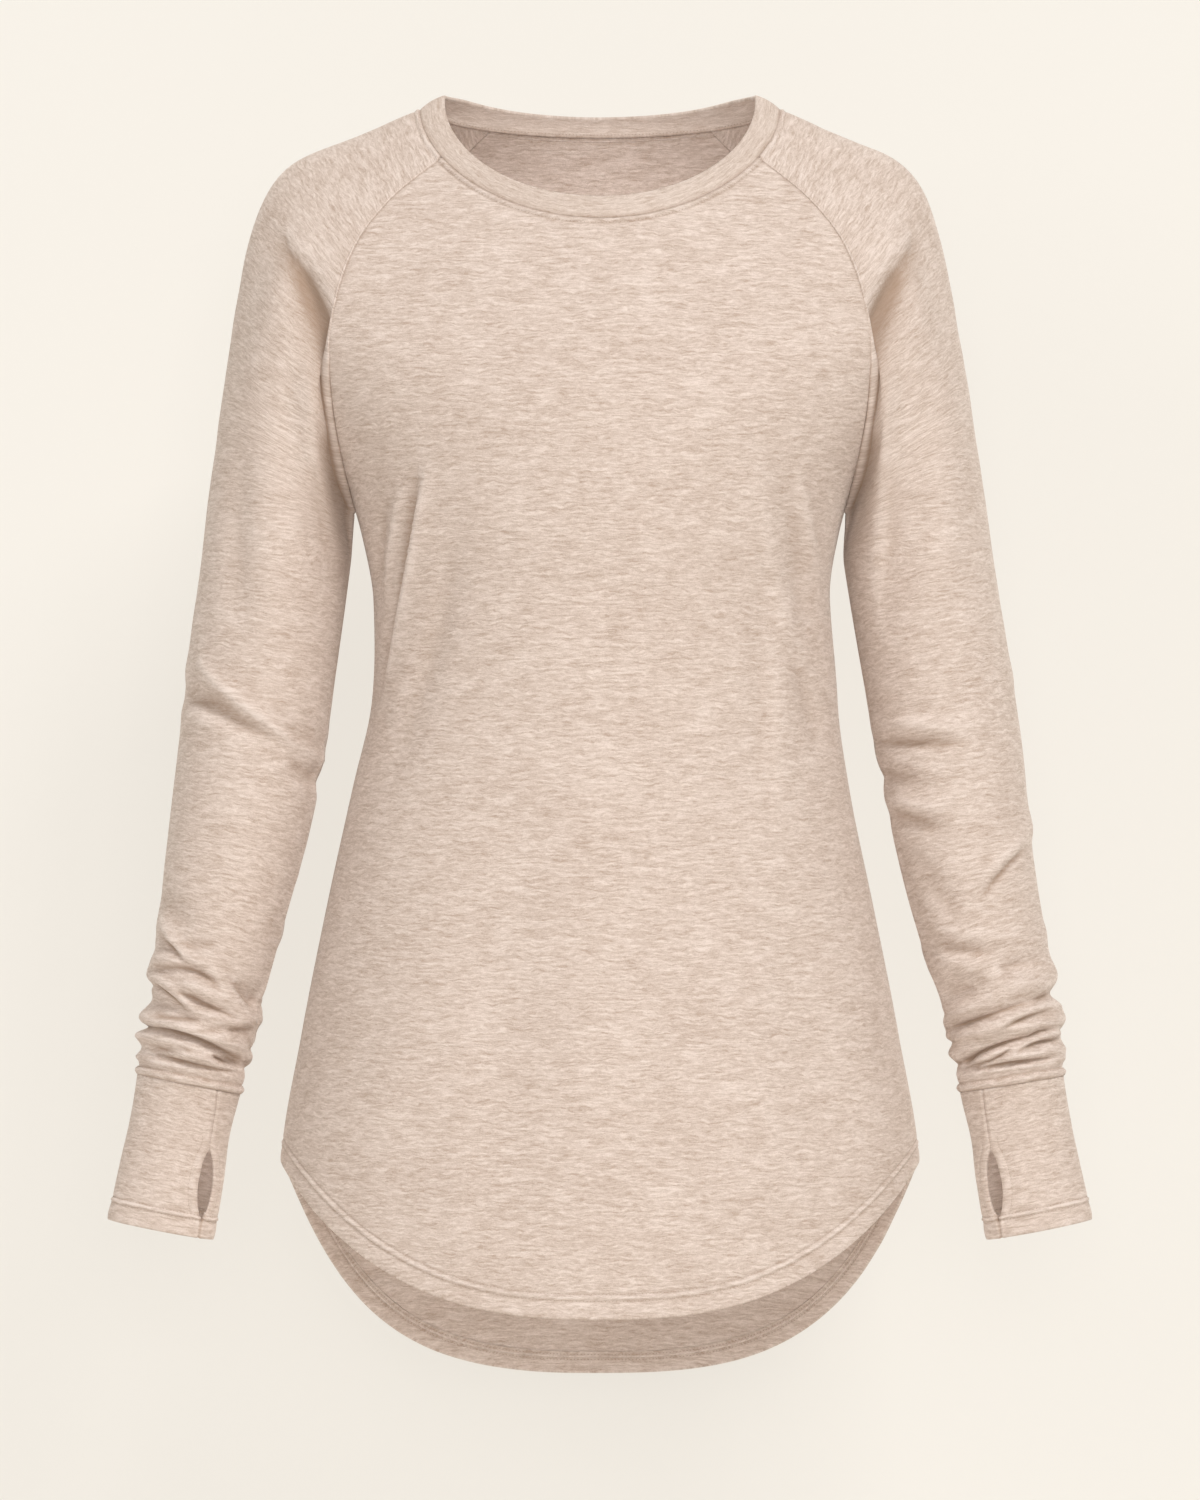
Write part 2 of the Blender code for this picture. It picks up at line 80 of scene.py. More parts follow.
# Heights of the underarm line and of the hem's corners, and how far the tails drop below them.
UNDERARM = -260
SIDE_CORNER = -685
FRONT_TAIL = 90
BACK_TAIL = 150
FRONT_TAIL_POWER = 2.75
BACK_TAIL_POWERS = (2.6, 6)
BACK_TAIL_SHARES = (0.55, 0.45)

# Which way each panel faces, and the column of its depth in the profile.
FACES = {"front_panel": (-1, "front"), "back_panel": (1, "back")}

# The waist hangs a little to one side: how far, at what height, and over what reach.
WAIST_SHIFT, WAIST_HEIGHT, WAIST_REACH = 3.2, -374, 52

# The neckband's seam and its folded edge: ovals seen from above, with a front that drops by a
# power of the way forward, a level run over the shoulders, and a back that drops evenly.
OVAL = ("half_width", "front", "back", "start", "drop", "power", "plateau")
OVAL = (*OVAL, "back_start", "back_drop")
BAND_SEAM = dict(zip(OVAL, (117, 80, 60, -0.6, 77, 1.135, 0.6, 2.4, 15.4)))
BAND_EDGE = dict(zip(OVAL, (101, 74, 57, 7.8, 70.7, 1, 9.6, 18.2, 17.5)))
FRONT_RAGLAN_ANGLE = 60.2
BACK_RAGLAN_ANGLE = 141.5

# The sleeve's cap, as in the cut: slopes where the cloth leaves the neckline and the armpit.
SHOULDER_SLOPE, ARMPIT_SLOPE, SLOPE_POWER = 20, 84, 2.2
CAP_FORWARD = 0.6
# Towards the shoulder the cloth leaves level with the yokes.
LEVEL_FROM, LEVEL_OVER = 0.1, 0.4
ARM_PULL, SHOULDER_PULL, SHOULDER_REACH = 1.0, 1.7, 0.16
# The courses of the cap fan out from this point under the arm, in the plane of the arms.
FAN_X, FAN_HEIGHT, FAN_RADIUS = 3, -315, 300
# Turns of smoothing, where the parts of a net meet.
PANEL_RELAXING, CAP_RELAXING, SLEEVE_RELAXING = 60, 40, 40
SLEEVE_END = -633
CUFF_END = -727
# The angle of the cuff's seam, which turns further down the cuff.
CUFF_SEAM_ANGLE = 126
CUFF_TWIST = 12
# How far along an arm its direction is measured.
TILT_REACH = 5
# The underarm seam creeps towards the front as it runs down the arm.
UNDERARM_SEAM_TWIST = 13
# Rows of the arm, which are closer below the height where the gathers start.
ARM_STEP, GATHER_STEP = 2.9, 0.95
GATHERS_TOP = -546

# Distances of the first rows and columns from a seam or hem, which hold its small shapes.
SEAM_STEPS = (0, 0.45, 0.9, 1.4, 2.0, 2.7, 3.6, 5.0)
NECK_STEPS = (0, 0.45, 0.9, 1.4, 1.9, 2.4, 2.8, 3.2, 3.7, 4.6, 6.2)
HEM_STEPS = (0, 0.6, 1.6, 3.2, 5.2, 7.2, 8.8)
HEM_MARGIN = 4
SLEEVE_END_STEPS = (0, 0.9, 1.8, 2.6, 3.4, 4.2, 4.8, 5.4, 6.0, 6.6, 7.4, 8.4, 9.6, 11)
CUFF_TOP_STEPS = (0, 0.5, 1.1, 1.8, 2.8, 4.2)
HOLE_STEPS = (*SEAM_STEPS, 5.6, 6.2, 7.2)
# A height or a distance from a hem that no fold or hem reaches.
FAR = 999

# Hems: distance of the two stitch rows from the edge, and of the raw edge inside.
HEM_ROWS = {"front_panel": (11.6, 16.0), "back_panel": (9.5, 12.9), "cuff": (11.6, 15.4)}
HEM_ALLOWANCE = {"front_panel": 17.6, "back_panel": 14.4, "cuff": 17.0}

# The other stitch rows: distances from the neckline, the sleeve's end and the thumbhole, and
# from the neckband's seam inside.
NECK_ROW = 3.7
SLEEVE_END_ROW = 5.4
HOLE_ROW = 5.6
INNER_BAND_ROW = 0.8
# The heights between which the thumbhole is topstitched.
HOLE_ROW_ENDS = (-718, -665)

# Small ridges and grooves beside an edge: height, distance from the edge, and width.
# The neckline's seam allowance lies under a bead, with its stitch row below.
PANEL_NECK = ((1.1, 1.6, 1.2), (-0.5, NECK_ROW, 0.7))
SLEEVE_NECK = ((0.8, 1.5, 1.1), (-0.35, NECK_ROW, 0.8))
# The raglan seam's allowance lies under the sleeve's side, which carries the ridge.
PANEL_RAGLAN = ((0.2, 3.4, 2.0),)
PANEL_SIDE = ((0.35, 1.8, 1.6), (-0.2, 0, 1))
UNDERARM_SEAM = ((0.35, 1.8, 1.5), (-0.3, 0, 1))
# The sleeve's end rolls over the cuff, below its stitch row.
SLEEVE_ROLL = ((1.3, 2.2, 2.8),)
SLEEVE_HEM = ((0.6, 2.2, 1.7), (-0.9, SLEEVE_END_ROW, 0.9))
CUFF_SEAM = ((0.3, 1.6, 1.3), (-0.2, 0, 0.8))
# Beside the thumbhole the cloth is turned in and topstitched.
HOLE_EDGE = ((0.55, 2.2, 2.2), (-0.45, HOLE_ROW, 0.8))
# The painted shade beside an edge, in the same way, which is painted light where it is below 0.
PANEL_NECK_SHADE = ((0.4, NECK_ROW, 0.7), (0.5, 0, 0.8))
PANEL_RAGLAN_SHADE = ((0.4, 0, 0.8),)
SLEEVE_TOP_SHADE = ((0.4, 0, 0.8), (-0.8, 1.7, 1))
SLEEVE_END_SHADE = ((0.5, SLEEVE_END_ROW + 0.1, 0.7), (0.7, 0, 0.7))
CUFF_EDGE_SHADE = ((0.8, 0, 0.9),)
BAND_SHADE = ((0.5, 0, 1.2),)

# Unevenness of the cloth: how high it lifts, the size of its lumps, and their seed.
PANEL_LUMPS = ((0.9, 70, 1), (0.28, 19, 3))
SLEEVE_LUMPS = ((0.9, 60, 5), (0.25, 18, 7))
CUFF_LUMPS = ((0.4, 24, 9),)
BAND_LUMPS = ((0.3, 26, 11),)

STITCH_PITCH = 2.3
STITCH_LENGTH = 1.6
STITCH_WIDTH = 0.55
STITCH_SIDES = 6
# How far a stitch's middle stands up, its ends dip, and a row pulls into the cloth.
STITCH_RISE = 0.3 * STITCH_WIDTH
STITCH_DIP = 0.2
STITCH_SINK = 0.12


def table(columns, *rows):
    """A table as a dictionary of its named columns."""
    return dict(zip(columns, np.array(rows, float).T))


# Half width of the body at the side seams.
SIDES = table(
    ("height", "half_width"),
    (-850, 211.5),
    (-685, 207),
    (-600, 193.4),
    (-520, 177.6),
    (-440, 160.7),
    (-385, 151),
    (-319, 148),
    (-285, 152.5),
    (-260, 159),
)

# Depth of the body at its centre lines.
PROFILE = table(
    ("height", "front", "back"),
    (-850, 133, 134),
    (-685, 127, 129),
    (-520, 116, 113),
    (-385, 109, 98),
    (-319, 112, 99),
    (-260, 119.5, 107),
    (-200, 120, 112),
    (-150, 108, 109),
    (-105, 91.5, 98),
    (-70, 76.5, 86),
    (-35, 60, 72),
    (-5, 46, 56),
)

# The raglan seams: place, and the angle through which the panel turns from its centre to the seam.
RAGLAN = {}
RAGLAN["front_panel"] = table(
    ("height", "x", "y", "turn"),
    (-260, 159, 0, 90),
    (-228, 166.5, -34, 76),
    (-190, 172, -56, 65),
    (-158, 173.5, -67, 57),
    (-127, 168, -68, 51),
    (-93, 155.8, -63, 47),
    (-64, 134.6, -54, 44),
    (-35.2, 101.5, -39.8, 41),
)
RAGLAN["back_panel"] = table(
    ("height", "x", "y", "turn"),
    (-260, 159, 0, 90),
    (-240, 165, 28, 80),
    (-205, 169, 58, 68),
    (-165, 168, 78, 58),
    (-122, 157, 84, 50),
    (-80, 135, 80, 44),
    (-40, 105, 68, 38),
    (-9.6, 72.8, 47, 34),
)

# The arms: their centre lines, and the half width and half depth of the cloth round them.
ARM = table(
    ("height", "left_x", "right_x", "y", "half_width", "half_depth"),
    (-290, 207, 210.5, 5, 48.3, 57),
    (-350, 216.5, 218.2, 4, 48.2, 55),
    (-430, 228.8, 228.4, 1, 47.2, 52),
    (-482, 236, 237, -2, 44.6, 48),
    (-534, 247, 247, -6, 41, 43),
    (-586, 260.5, 257.5, -10, 37.2, 37),
    (-633, 266.8, 266.4, -13, 34, 28),
    (-664, 272.8, 272.8, -14, 32.8, 24.5),
    (-690, 277.3, 277.3, -15, 34.3, 24),
    (-727, 284.5, 284.5, -16, 35, 23.5),
)

# Half the thumbhole's width along the cuff, from the sleeve to the cuff's hem.
THUMBHOLE = table(
    ("height", "half_width"),
    (-633, 0),
    (-669.5, 0),
    (-674, 2.5),
    (-682.5, 5.7),
    (-694.5, 7.1),
    (-705.5, 5.5),
    (-713.5, 1.8),
    (-716.5, 0),
    (-727, 0),
)

# A fold is a curve through three places, a ridge (rise above 0) or a trough (rise below 0). Its
# lean from -1 to 1 widens the slope on the left of its way, and narrows the slope on its right.
FOLD_PLACES = ("across_1", "height_1", "across_2", "height_2", "across_3", "height_3")
FOLD = (*FOLD_PLACES, "width", "rise", "lean")


def fold_table(*rows):
    """A table of folds. A row that leaves its lean out has none."""
    return table(FOLD, *((*row, 0)[: len(FOLD)] for row in rows))


# On the body, across is x.
FOLDS = {}
FOLDS["front_panel"] = fold_table(
    # The waist on the wearer's right: one sharp fold and a smaller one beside it.
    (-112, -240, -124, -312, -141, -384, 5.0, 5.6, 0.65),
    (-117, -244, -128, -314, -143, -384, 5.6, -5.4, -0.5),
    (-127, -252, -134, -288, -139, -340, 4.2, 3.0, 0.3),
    (-138, -256, -142, -290, -144, -334, 4, -2.6),
    (-94, -278, -108, -350, -134, -432, 11, -3.6),
    (-103, -282, -116, -345, -136, -404, 8, 2.2),
    # The waist on the wearer's left.
    (116, -238, 127, -290, 130, -344, 7.5, -2.2),
    (98, -228, 110, -300, 132, -366, 8, 3.0),
    (126, -240, 134, -275, 141, -322, 4.2, 3.0, -0.3),
    (122, -350, 134, -385, 139, -416, 6, -3.4),
    (101, -312, 103, -380, 99, -456, 9, -2.2),
    (112, -362, 114, -400, 115, -456, 8, 1.8),
    # Below the neck and over the hips.
    (-30, -120, 10, -128, 60, -118, 24, 0.9),
    (-45, -430, -58, -560, -66, -690, 34, -2.6),
    (-112, -520, -128, -620, -140, -705, 30, 2.6),
    (-78, -560, -90, -650, -96, -730, 20, 1.6),
    (44, -420, 52, -560, 50, -720, 36, -2.4),
    (112, -500, 132, -600, 146, -690, 30, -2.4),
    (4, -520, -4, -640, 0, -770, 40, 2.2),
    (88, -540, 96, -640, 100, -740, 26, 2.4),
)
FOLDS["back_panel"] = fold_table(
    (-108, -268, -122, -320, -146, -392, 8, 3.4, -0.3),
    (-122, -262, -136, -320, -152, -376, 7, -5.0, -0.2),
    (-62, -240, -70, -330, -88, -430, 22, -4.2),
    (-30, -270, -34, -350, -40, -450, 20, 2.6),
    (58, -236, 66, -330, 80, -440, 22, -4.0),
    (24, -280, 26, -350, 30, -430, 20, 2.2),
    (112, -262, 126, -320, 148, -388, 8, 3.2, 0.3),
    (126, -258, 140, -318, 152, -372, 7, -4.4, 0.2),
    (-40, -62, 0, -70, 44, -60, 18, -1.6),
    (-70, -440, -84, -580, -92, -730, 34, -2.8),
    (-8, -460, 0, -600, 4, -790, 40, -2.4),
    (76, -450, 92, -600, 96, -740, 34, -2.6),
    (-36, -520, -44, -660, -46, -790, 30, 2.6),
    (38, -520, 48, -660, 50, -780, 30, 2.6),
    (132, -480, 152, -590, 160, -690, 28, 2.2),
    (-130, -490, -150, -590, -160, -700, 28, 2.2),
)

# Folds on the front of a sleeve, where across is the distance from the body's middle.
SLEEVE_FRONT_FOLDS = {}
SLEEVE_FRONT_FOLDS["left"] = fold_table(
    # The upper arm and the elbow.
    (190, -240, 185, -275, 182, -330, 9, -3.4, 0.4),
    (206, -170, 202, -250, 196, -330, 16, -2.2),
    (226, -160, 222, -250, 214, -340, 14, 2.4),
    (182, -402, 206, -400, 240, -404, 6, 2.8),
    (178, -412, 202, -413, 236, -413, 3.6, -3.6, 0.3),
    (180, -434, 190, -434, 206, -438, 6, -3.0),
    (184, -446, 202, -453, 230, -452, 5, 2.8),
    (186, -457, 200, -461, 218, -470, 6, -3.4),
    (277, -480, 262, -492, 244, -513, 2.8, -3.4, -0.4),
    (277, -470, 262, -484, 244, -502, 6, 3.2),
    (200, -486, 216, -508, 232, -524, 9, -2.2),
    # The gathers, from the top down.
    (216, -540, 232, -545, 252, -548, 4.5, -2.8),
    (222, -534, 246, -536, 276, -536, 7, 2.2),
    (216, -556, 240, -555, 262, -563, 7, 2.4),
    (256, -558, 266, -556, 284, -552, 5, -3.2),
    (222, -574, 230, -573, 242, -569, 7, -4.2),
    (246, -570, 268, -567, 296, -564, 7, 3.6),
    (292, -574, 286, -576, 278, -578, 2.6, -3.6),
    (222, -598, 240, -591, 276, -578, 3.0, -4.4, -0.4),
    (222, -589, 240, -582, 272, -572, 5, 3.0),
    (240, -597, 264, -587, 298, -582, 5, 4.2),
    (258, -597, 272, -589, 292, -584, 3.4, -4.4, -0.4),
    (222, -604, 248, -597, 296, -591, 4.6, 4.4),
    (218, -627, 248, -610, 282, -600, 2.2, -6.4, -0.35),
    (228, -622, 234, -618, 242, -614, 3.4, -3.2, -0.4),
    (276, -602, 284, -598, 294, -597, 2.2, -3.8),
    (234, -618, 252, -611, 268, -605, 2.8, 3.4),
    (230, -623, 252, -616, 264, -608, 1.7, -4.2, -0.4),
    (262, -612, 276, -604, 298, -599, 3.4, 3.2),
    (272, -609, 284, -605, 300, -603, 2.3, -4.6),
    (244, -621, 264, -614, 300, -610, 3.0, 3.2),
    (236, -625, 258, -619, 290, -615, 2.0, -4.4, -0.3),
    (228, -627, 260, -622, 300, -618, 3.0, 2.4),
)
SLEEVE_FRONT_FOLDS["right"] = fold_table(
    # The upper arm and the elbow.
    (186, -236, 178, -268, 172, -310, 9, -3.4, 0.4),
    (232, -225, 234, -290, 232, -345, 10, -2.4),
    (212, -200, 212, -270, 206, -340, 14, 2.2),
    (258, -358, 238, -382, 180, -424, 4.6, 4.2, -0.5),
    (266, -374, 246, -389, 218, -406, 6, -3.8, 0.2),
    (268, -384, 260, -386, 250, -388, 2.4, -2.0),
    (268, -393, 258, -396, 244, -400, 5, 2.0),
    (204, -400, 194, -408, 178, -416, 6, -2.6),
    (200, -424, 190, -432, 178, -440, 6, -3.2),
    (286, -506, 276, -520, 262, -532, 9, -2.2),
    # The gathers, from the top down.
    (284, -527, 275, -540, 262, -553, 3.4, 3.4, -0.5),
    (288, -535, 276, -544, 258, -556, 3.2, -2.7, 0.35),
    (276, -540, 262, -543, 244, -541, 4, -2.4),
    (292, -552, 276, -552, 254, -554, 6, 3.4),
    (288, -559, 262, -558, 242, -573, 2.8, -4.2, 0.3),
    (290, -562, 276, -569, 262, -582, 4.2, 3.8),
    (290, -567, 280, -573, 264, -586, 2.8, -4.6, 0.4),
    (292, -577, 284, -580, 272, -584, 4, -3.6),
    (272, -566, 256, -570, 238, -580, 5, 3.6),
    (272, -571, 256, -579, 232, -590, 2.8, -5.0, 0.3),
    (236, -566, 227, -577, 220, -586, 4.6, -5.0, -0.6),
    (262, -581, 244, -589, 218, -592, 5.5, 3.6),
    (288, -587, 276, -589, 256, -590, 2.8, -4.0),
    (262, -596, 254, -597, 244, -597, 2.4, -2.4),
    (240, -596, 232, -597, 222, -596, 3, -3.0),
    (296, -590, 262, -596, 224, -612, 5, 4.8),
    (299, -596, 258, -602.5, 213, -630, 2.2, -6.4, 0.35),
    (244, -612, 235, -617, 228, -622, 3.4, -3.6, 0.4),
    (298, -601, 274, -604, 246, -612, 3.6, 3.2),
    (291, -607, 280, -610, 266, -611, 3.0, -3.4),
    (249, -613.5, 244, -616.5, 235, -620, 1.6, -4.6, 0.3),
    (246, -611.5, 238, -614, 230, -619, 2.0, 2.2),
    (280, -612, 262, -613, 232, -624, 2.8, 3.2),
    (288, -612, 266, -618, 234, -625, 2.0, -4.4, 0.3),
    (300, -616, 268, -621, 230, -629, 3.0, 2.4),
)
# The crease that runs down beside the seam into the armpit.
ARMPIT_FOLDS = {}
ARMPIT_FOLDS["left"] = fold_table(
    (206, -84, 180, -134, 174, -170, 7, -3.4, 0.5),
    (193, -104, 169, -168, 149, -262, 12, -8.4, 0.4),
    (176, -214, 168, -244, 164, -300, 9, -4.0, 0.2),
)
ARMPIT_FOLDS["right"] = fold_table(
    (208, -84, 181, -134, 175, -170, 7, -3.6, 0.5),
    (194, -104, 170, -168, 149, -264, 12, -8.8, 0.4),
    (176, -214, 168, -246, 165, -305, 9, -4.4, 0.2),
)

# Folds round a sleeve, where across is the angle from the outer line: front 90, armpit 180.
SLEEVE_FOLDS = {}
SLEEVE_FOLDS["left"] = fold_table(
    (180, -430, 180, -495, 180, -575, 16, -2.2),
    # Across the outer line.
    (-50, -468, 0, -470, 30, -472, 9, 1.2),
    (-60, -543.5, 0, -545.5, 36, -547.5, 7, 0.9),
    (-60, -567.5, 0, -568.5, 40, -569.5, 6, 1),
    (-50, -580.5, 0, -581.5, 34, -582.5, 4.4, -3.8),
    (-60, -593.5, 0, -595.5, 40, -596.5, 6.5, 2),
    (-50, -602.5, 0, -602.5, 24, -602.5, 2.2, -1.9),
    (-60, -617.5, 0, -617.5, 30, -617.5, 9, 1.4),
    # Across the armpit line.
    (150, -579, 180, -580, 220, -581, 3, -1.7),
    (150, -589, 180, -589, 220, -590, 7, 1.7),
    (156, -601, 180, -602, 220, -602, 1.9, -3),
    (152, -609, 180, -609, 220, -610, 4.4, 2.2),
    (156, -616.5, 180, -616.5, 220, -617, 2.4, -1.6),
    (160, -424, 180, -428, 210, -432, 6, -1.8),
    # Behind.
    (-20, -400, -90, -424, -150, -440, 9, -4.4),
    (-10, -376, -80, -398, -160, -410, 9, 4.0),
    (-30, -470, -90, -496, -160, -520, 8, -4.2),
    (-20, -500, -100, -520, -170, -545, 9, 3.4),
    (-40, -556, -100, -562, -165, -570, 3.2, -4.4, 0.2),
    (-34, -566, -90, -572, -165, -581, 6, 4.6),
    (-38, -580, -100, -583, -160, -590, 2.6, -5.6, 0.2),
    (-40, -592, -90, -595, -165, -600, 5, 4.4),
    (-40, -603, -100, -604, -160, -610, 2.2, -6.4),
    (-60, -611, -100, -612, -150, -617, 3.4, 3.0),
    (-40, -618, -90, -619, -150, -622, 2.0, -4.0),
)
SLEEVE_FOLDS["right"] = fold_table(
    (180, -490, 180, -540, 180, -595, 16, -2.2),
    # Across the outer line.
    (-60, -567.5, 0, -568.5, 40, -569.5, 6, 1.2),
    (-50, -556.5, 0, -556.5, 30, -556.5, 7, -1.8),
    (-50, -575.5, 0, -576.5, 36, -576.5, 2.6, -1.9),
    (-50, -584.5, 0, -584.5, 30, -584.5, 6, -2.2),
    (-60, -595.5, 0, -595.5, 36, -595.5, 5.2, 1.7),
    (-50, -602.5, 0, -602.5, 30, -602.5, 1.9, -2.9),
    (-60, -608.5, 0, -608.5, 30, -608.5, 4.6, 3),
    (-50, -615.5, 0, -615.5, 30, -615.5, 3.4, -0.7),
    (-60, -622.5, 0, -622.5, 30, -622.5, 4.4, 1.7),
    # Across the armpit line.
    (150, -573, 180, -574, 220, -575, 3.4, -1.7),
    (150, -584, 180, -584, 220, -585, 8, 1.8),
    (156, -603, 180, -604, 220, -603, 1.9, -2.6),
    (152, -611, 180, -611, 220, -611, 4.4, 2),
    (156, -617, 180, -617, 220, -617, 2.4, -1.6),
    (160, -428, 180, -431, 210, -434, 6, -1.8),
    # Behind.
    (-15, -392, -90, -410, -150, -432, 9, -4.4),
    (-10, -370, -90, -384, -160, -400, 9, 4.0),
    (-20, -462, -90, -486, -165, -506, 8, -4.0),
    (-26, -492, -100, -512, -170, -532, 9, 3.4),
    (-40, -550, -100, -556, -165, -566, 3.2, -4.4, 0.2),
    (-34, -562, -90, -567, -165, -576, 6, 4.4),
    (-38, -576, -100, -580, -160, -588, 2.6, -5.6, 0.2),
    (-40, -588, -90, -592, -165, -598, 5, 4.2),
    (-40, -600, -100, -602, -160, -608, 2.2, -6.4),
    (-60, -609, -100, -610, -150, -615, 3.4, 3.0),
    (-40, -617, -90, -618, -150, -621, 2.0, -4.0),
)
# Length of cloth for each degree round a sleeve, and steps along a fold.
AROUND_PER_DEGREE = 0.68
FOLD_STEPS = 24
# A trough narrower than this is a crease with a sharp bottom.
CRISP_WIDTH = 4
CRISP_POWER = 1.4
# A sleeve's folds are this much deeper than its tables say.
SLEEVE_FOLD_DEPTH = 1.3
# The depth of a sharp trough whose painted shade is as dark as any.
DARKEST = 5


def unit(vectors):
    """Vectors scaled to length 1."""
    return vectors / np.maximum(np.linalg.norm(vectors, axis=-1, keepdims=True), 1e-9)


def smooth_step(value, start, end):
    """0 before start, 1 after end, and a soft rise between them."""
    part = np.clip((value - start) / (end - start), 0, 1)
    return part * part * (3 - 2 * part)


def bump(distance, centre, width):
    """A soft bump of height 1 at a distance from an edge."""
    return np.exp(-(((distance - centre) / width) ** 2))


def beside(distance, shapes):
    """The sum of small ridges and grooves, or of their shades, at a distance from an edge."""
    return sum(height * bump(distance, centre, width) for height, centre, width in shapes)


def eased(part, start, end, start_pull, end_pull):
    """A curve from start to end that leaves and arrives along its pulls."""
    rest = 1 - part
    first = rest * rest * ((1 + 2 * part) * start + part * start_pull)
    last = part * part * ((3 - 2 * part) * end - rest * end_pull)
    return first + last


def read(rows, column, height):
    """A table's column at any height, on a curve through its rows that never overshoots them."""
    order = np.argsort(rows["height"])
    heights = rows["height"][order]
    values = rows[column][order]
    steps = np.diff(heights)
    slopes = np.diff(values) / steps
    level = slopes[1:] * slopes[:-1] <= 0
    bends = 2 * slopes[1:] * slopes[:-1] / np.where(level, 1, slopes[1:] + slopes[:-1])
    slopes = np.concatenate([slopes[:1], np.where(level, 0, bends), slopes[-1:]])
    below = np.clip(np.searchsorted(heights, height) - 1, 0, len(steps) - 1)
    step = steps[below]
    part = (height - heights[below]) / step
    pulls = step * slopes[below], step * slopes[below + 1]
    return eased(part, values[below], values[below + 1], *pulls)


def lowest(*heights):
    """The least of several heights, with the corner between them rounded off."""
    return -np.log(sum(np.exp(-height) for height in heights))


def neck_line(line, angle):
    """A line round the neck. The angle is 0 at centre front and 180 at centre back."""
    turn = np.radians(angle)
    back = -np.cos(turn)
    depth = np.where(back < 0, line["front"], line["back"])
    rising = line["start"] + line["drop"] * np.sign(back) * np.abs(back) ** line["power"]
    falling = line["back_start"] - line["back_drop"] * back
    height = lowest(rising, line["plateau"] + 0 * back, falling)
    return np.stack([line["half_width"] * np.sin(turn), depth * back, height], -1)


def hem_height(sweep, front):
    """Height of the shirt-tail hem, where the sweep runs from 0 at the centre to 1 at the side."""
    side = np.abs(np.sin(np.radians(90 * sweep)))
    if front:
        return SIDE_CORNER - FRONT_TAIL * (1 - side**FRONT_TAIL_POWER)
    rise = sum(share * side**power for share, power in zip(BACK_TAIL_SHARES, BACK_TAIL_POWERS))
    return SIDE_CORNER - BACK_TAIL * (1 - rise)


def net_normals(net, flip=False, closed=False):
    """Normals of a net of points, from the directions of its rows and columns."""
    if closed:
        net = np.concatenate([net[:, -2:-1], net, net[:, 1:2]], axis=1)
    normals = unit(np.cross(np.gradient(net, axis=1), np.gradient(net, axis=0)))
    if closed:
        normals = normals[:, 1:-1]
    return -normals if flip else normals


def relaxed(net, turns, hold):
    """The net with its rows drawn smooth where hold is below 1. Its border rows stay."""
    net = net.copy()
    loose = (1 - hold)[1:-1, :, None]
    for _ in range(turns):
        middle = (net[:-2] + net[2:]) / 2
        net[1:-1] += 0.5 * loose * (middle - net[1:-1])
    return net


def lengths_along(net, axis):
    """Distance of each point from the first of its line, along an axis of the net."""
    steps = np.linalg.norm(np.diff(net[..., :3], axis=axis), axis=-1)
    start = np.zeros_like(np.take(steps, [0], axis=axis))
    return np.concatenate([start, np.cumsum(steps, axis=axis)], axis=axis)


def spread(net, axis, from_start, from_end, count):
    """The net with new lines: at set distances from its edges, and evenly between them."""
    net = np.swapaxes(net, 0, axis)
    lengths = lengths_along(net, 0)
    between = np.arange(1, count) / count
    lines = []
    for column in range(net.shape[1]):
        length = lengths[-1, column]
        start, end = from_start[-1], length - from_end[-1]
        middle = start + (end - start) * between
        places = np.concatenate([from_start, middle, length - np.array(from_end[::-1])])
        along = lengths[:, column]
        line = [np.interp(places, along, values) for values in net[:, column].T]
        lines.append(np.stack(line, -1))
    return np.swapaxes(np.stack(lines, 1), 0, axis)


def fold_curve(folds, i):
    """Points along one fold, through its three places."""
    start, through, end = (
        np.array([folds[f"across_{place}"][i], folds[f"height_{place}"][i]]) for place in (1, 2, 3)
    )
    pull = 2 * through - (start + end) / 2
    part = np.linspace(0, 1, FOLD_STEPS + 1)[:, None]
    return (1 - part) ** 2 * start + 2 * part * (1 - part) * pull + part**2 * end


def fold_rise(folds, across, height, scale=1):
    """How far the folds lift the cloth at a place on a piece, and the painted shade along the
    bottoms of sharp ones.
    """
    rise = np.zeros_like(height)
    dark = np.zeros_like(height)
    stretch = np.array([scale, 1])
    place = np.stack([across * scale, height], -1)
    for i in range(len(folds["rise"])):
        curve = fold_curve(folds, i) * stretch
        width, lift, lean = (folds[column][i] for column in ("width", "rise", "lean"))
        reach = 3 * width * (1 + abs(lean))
        inside = ((place > curve.min(0) - reach) & (place < curve.max(0) + reach)).all(-1)
        near = place[inside]
        if not len(near):
            continue
        start, way = curve[:-1], np.diff(curve, axis=0)
        from_start = near[:, None] - start
        part = np.clip((from_start * way).sum(-1) / (way * way).sum(-1), 0, 1)
        off = from_start - part[..., None] * way
        distance = np.hypot(off[..., 0], off[..., 1])
        nearest = distance.argmin(1)
        pick = np.arange(len(near)), nearest
        left = np.sign(way[nearest, 0] * off[pick][:, 1] - way[nearest, 1] * off[pick][:, 0])
        along = (nearest + part[pick]) / FOLD_STEPS
        # It fades towards its ends, but not to nothing.
        fade = np.sin(np.pi * (0.06 + 0.88 * along)) ** 0.8
        crisp = width < CRISP_WIDTH and lift < 0
        slope = (distance[pick] / (width * (1 + lean * left))) ** (CRISP_POWER if crisp else 2)
        rise[inside] += lift * fade * np.exp(-slope)
        if crisp:
            # Painted shade along the bottom of a sharp trough.
            line = bump(distance[pick], 0, 0.25 * width + 0.4)
            dark[inside] = np.maximum(dark[inside], -lift / DARKEST * fade**2 * line)
    return rise, dark


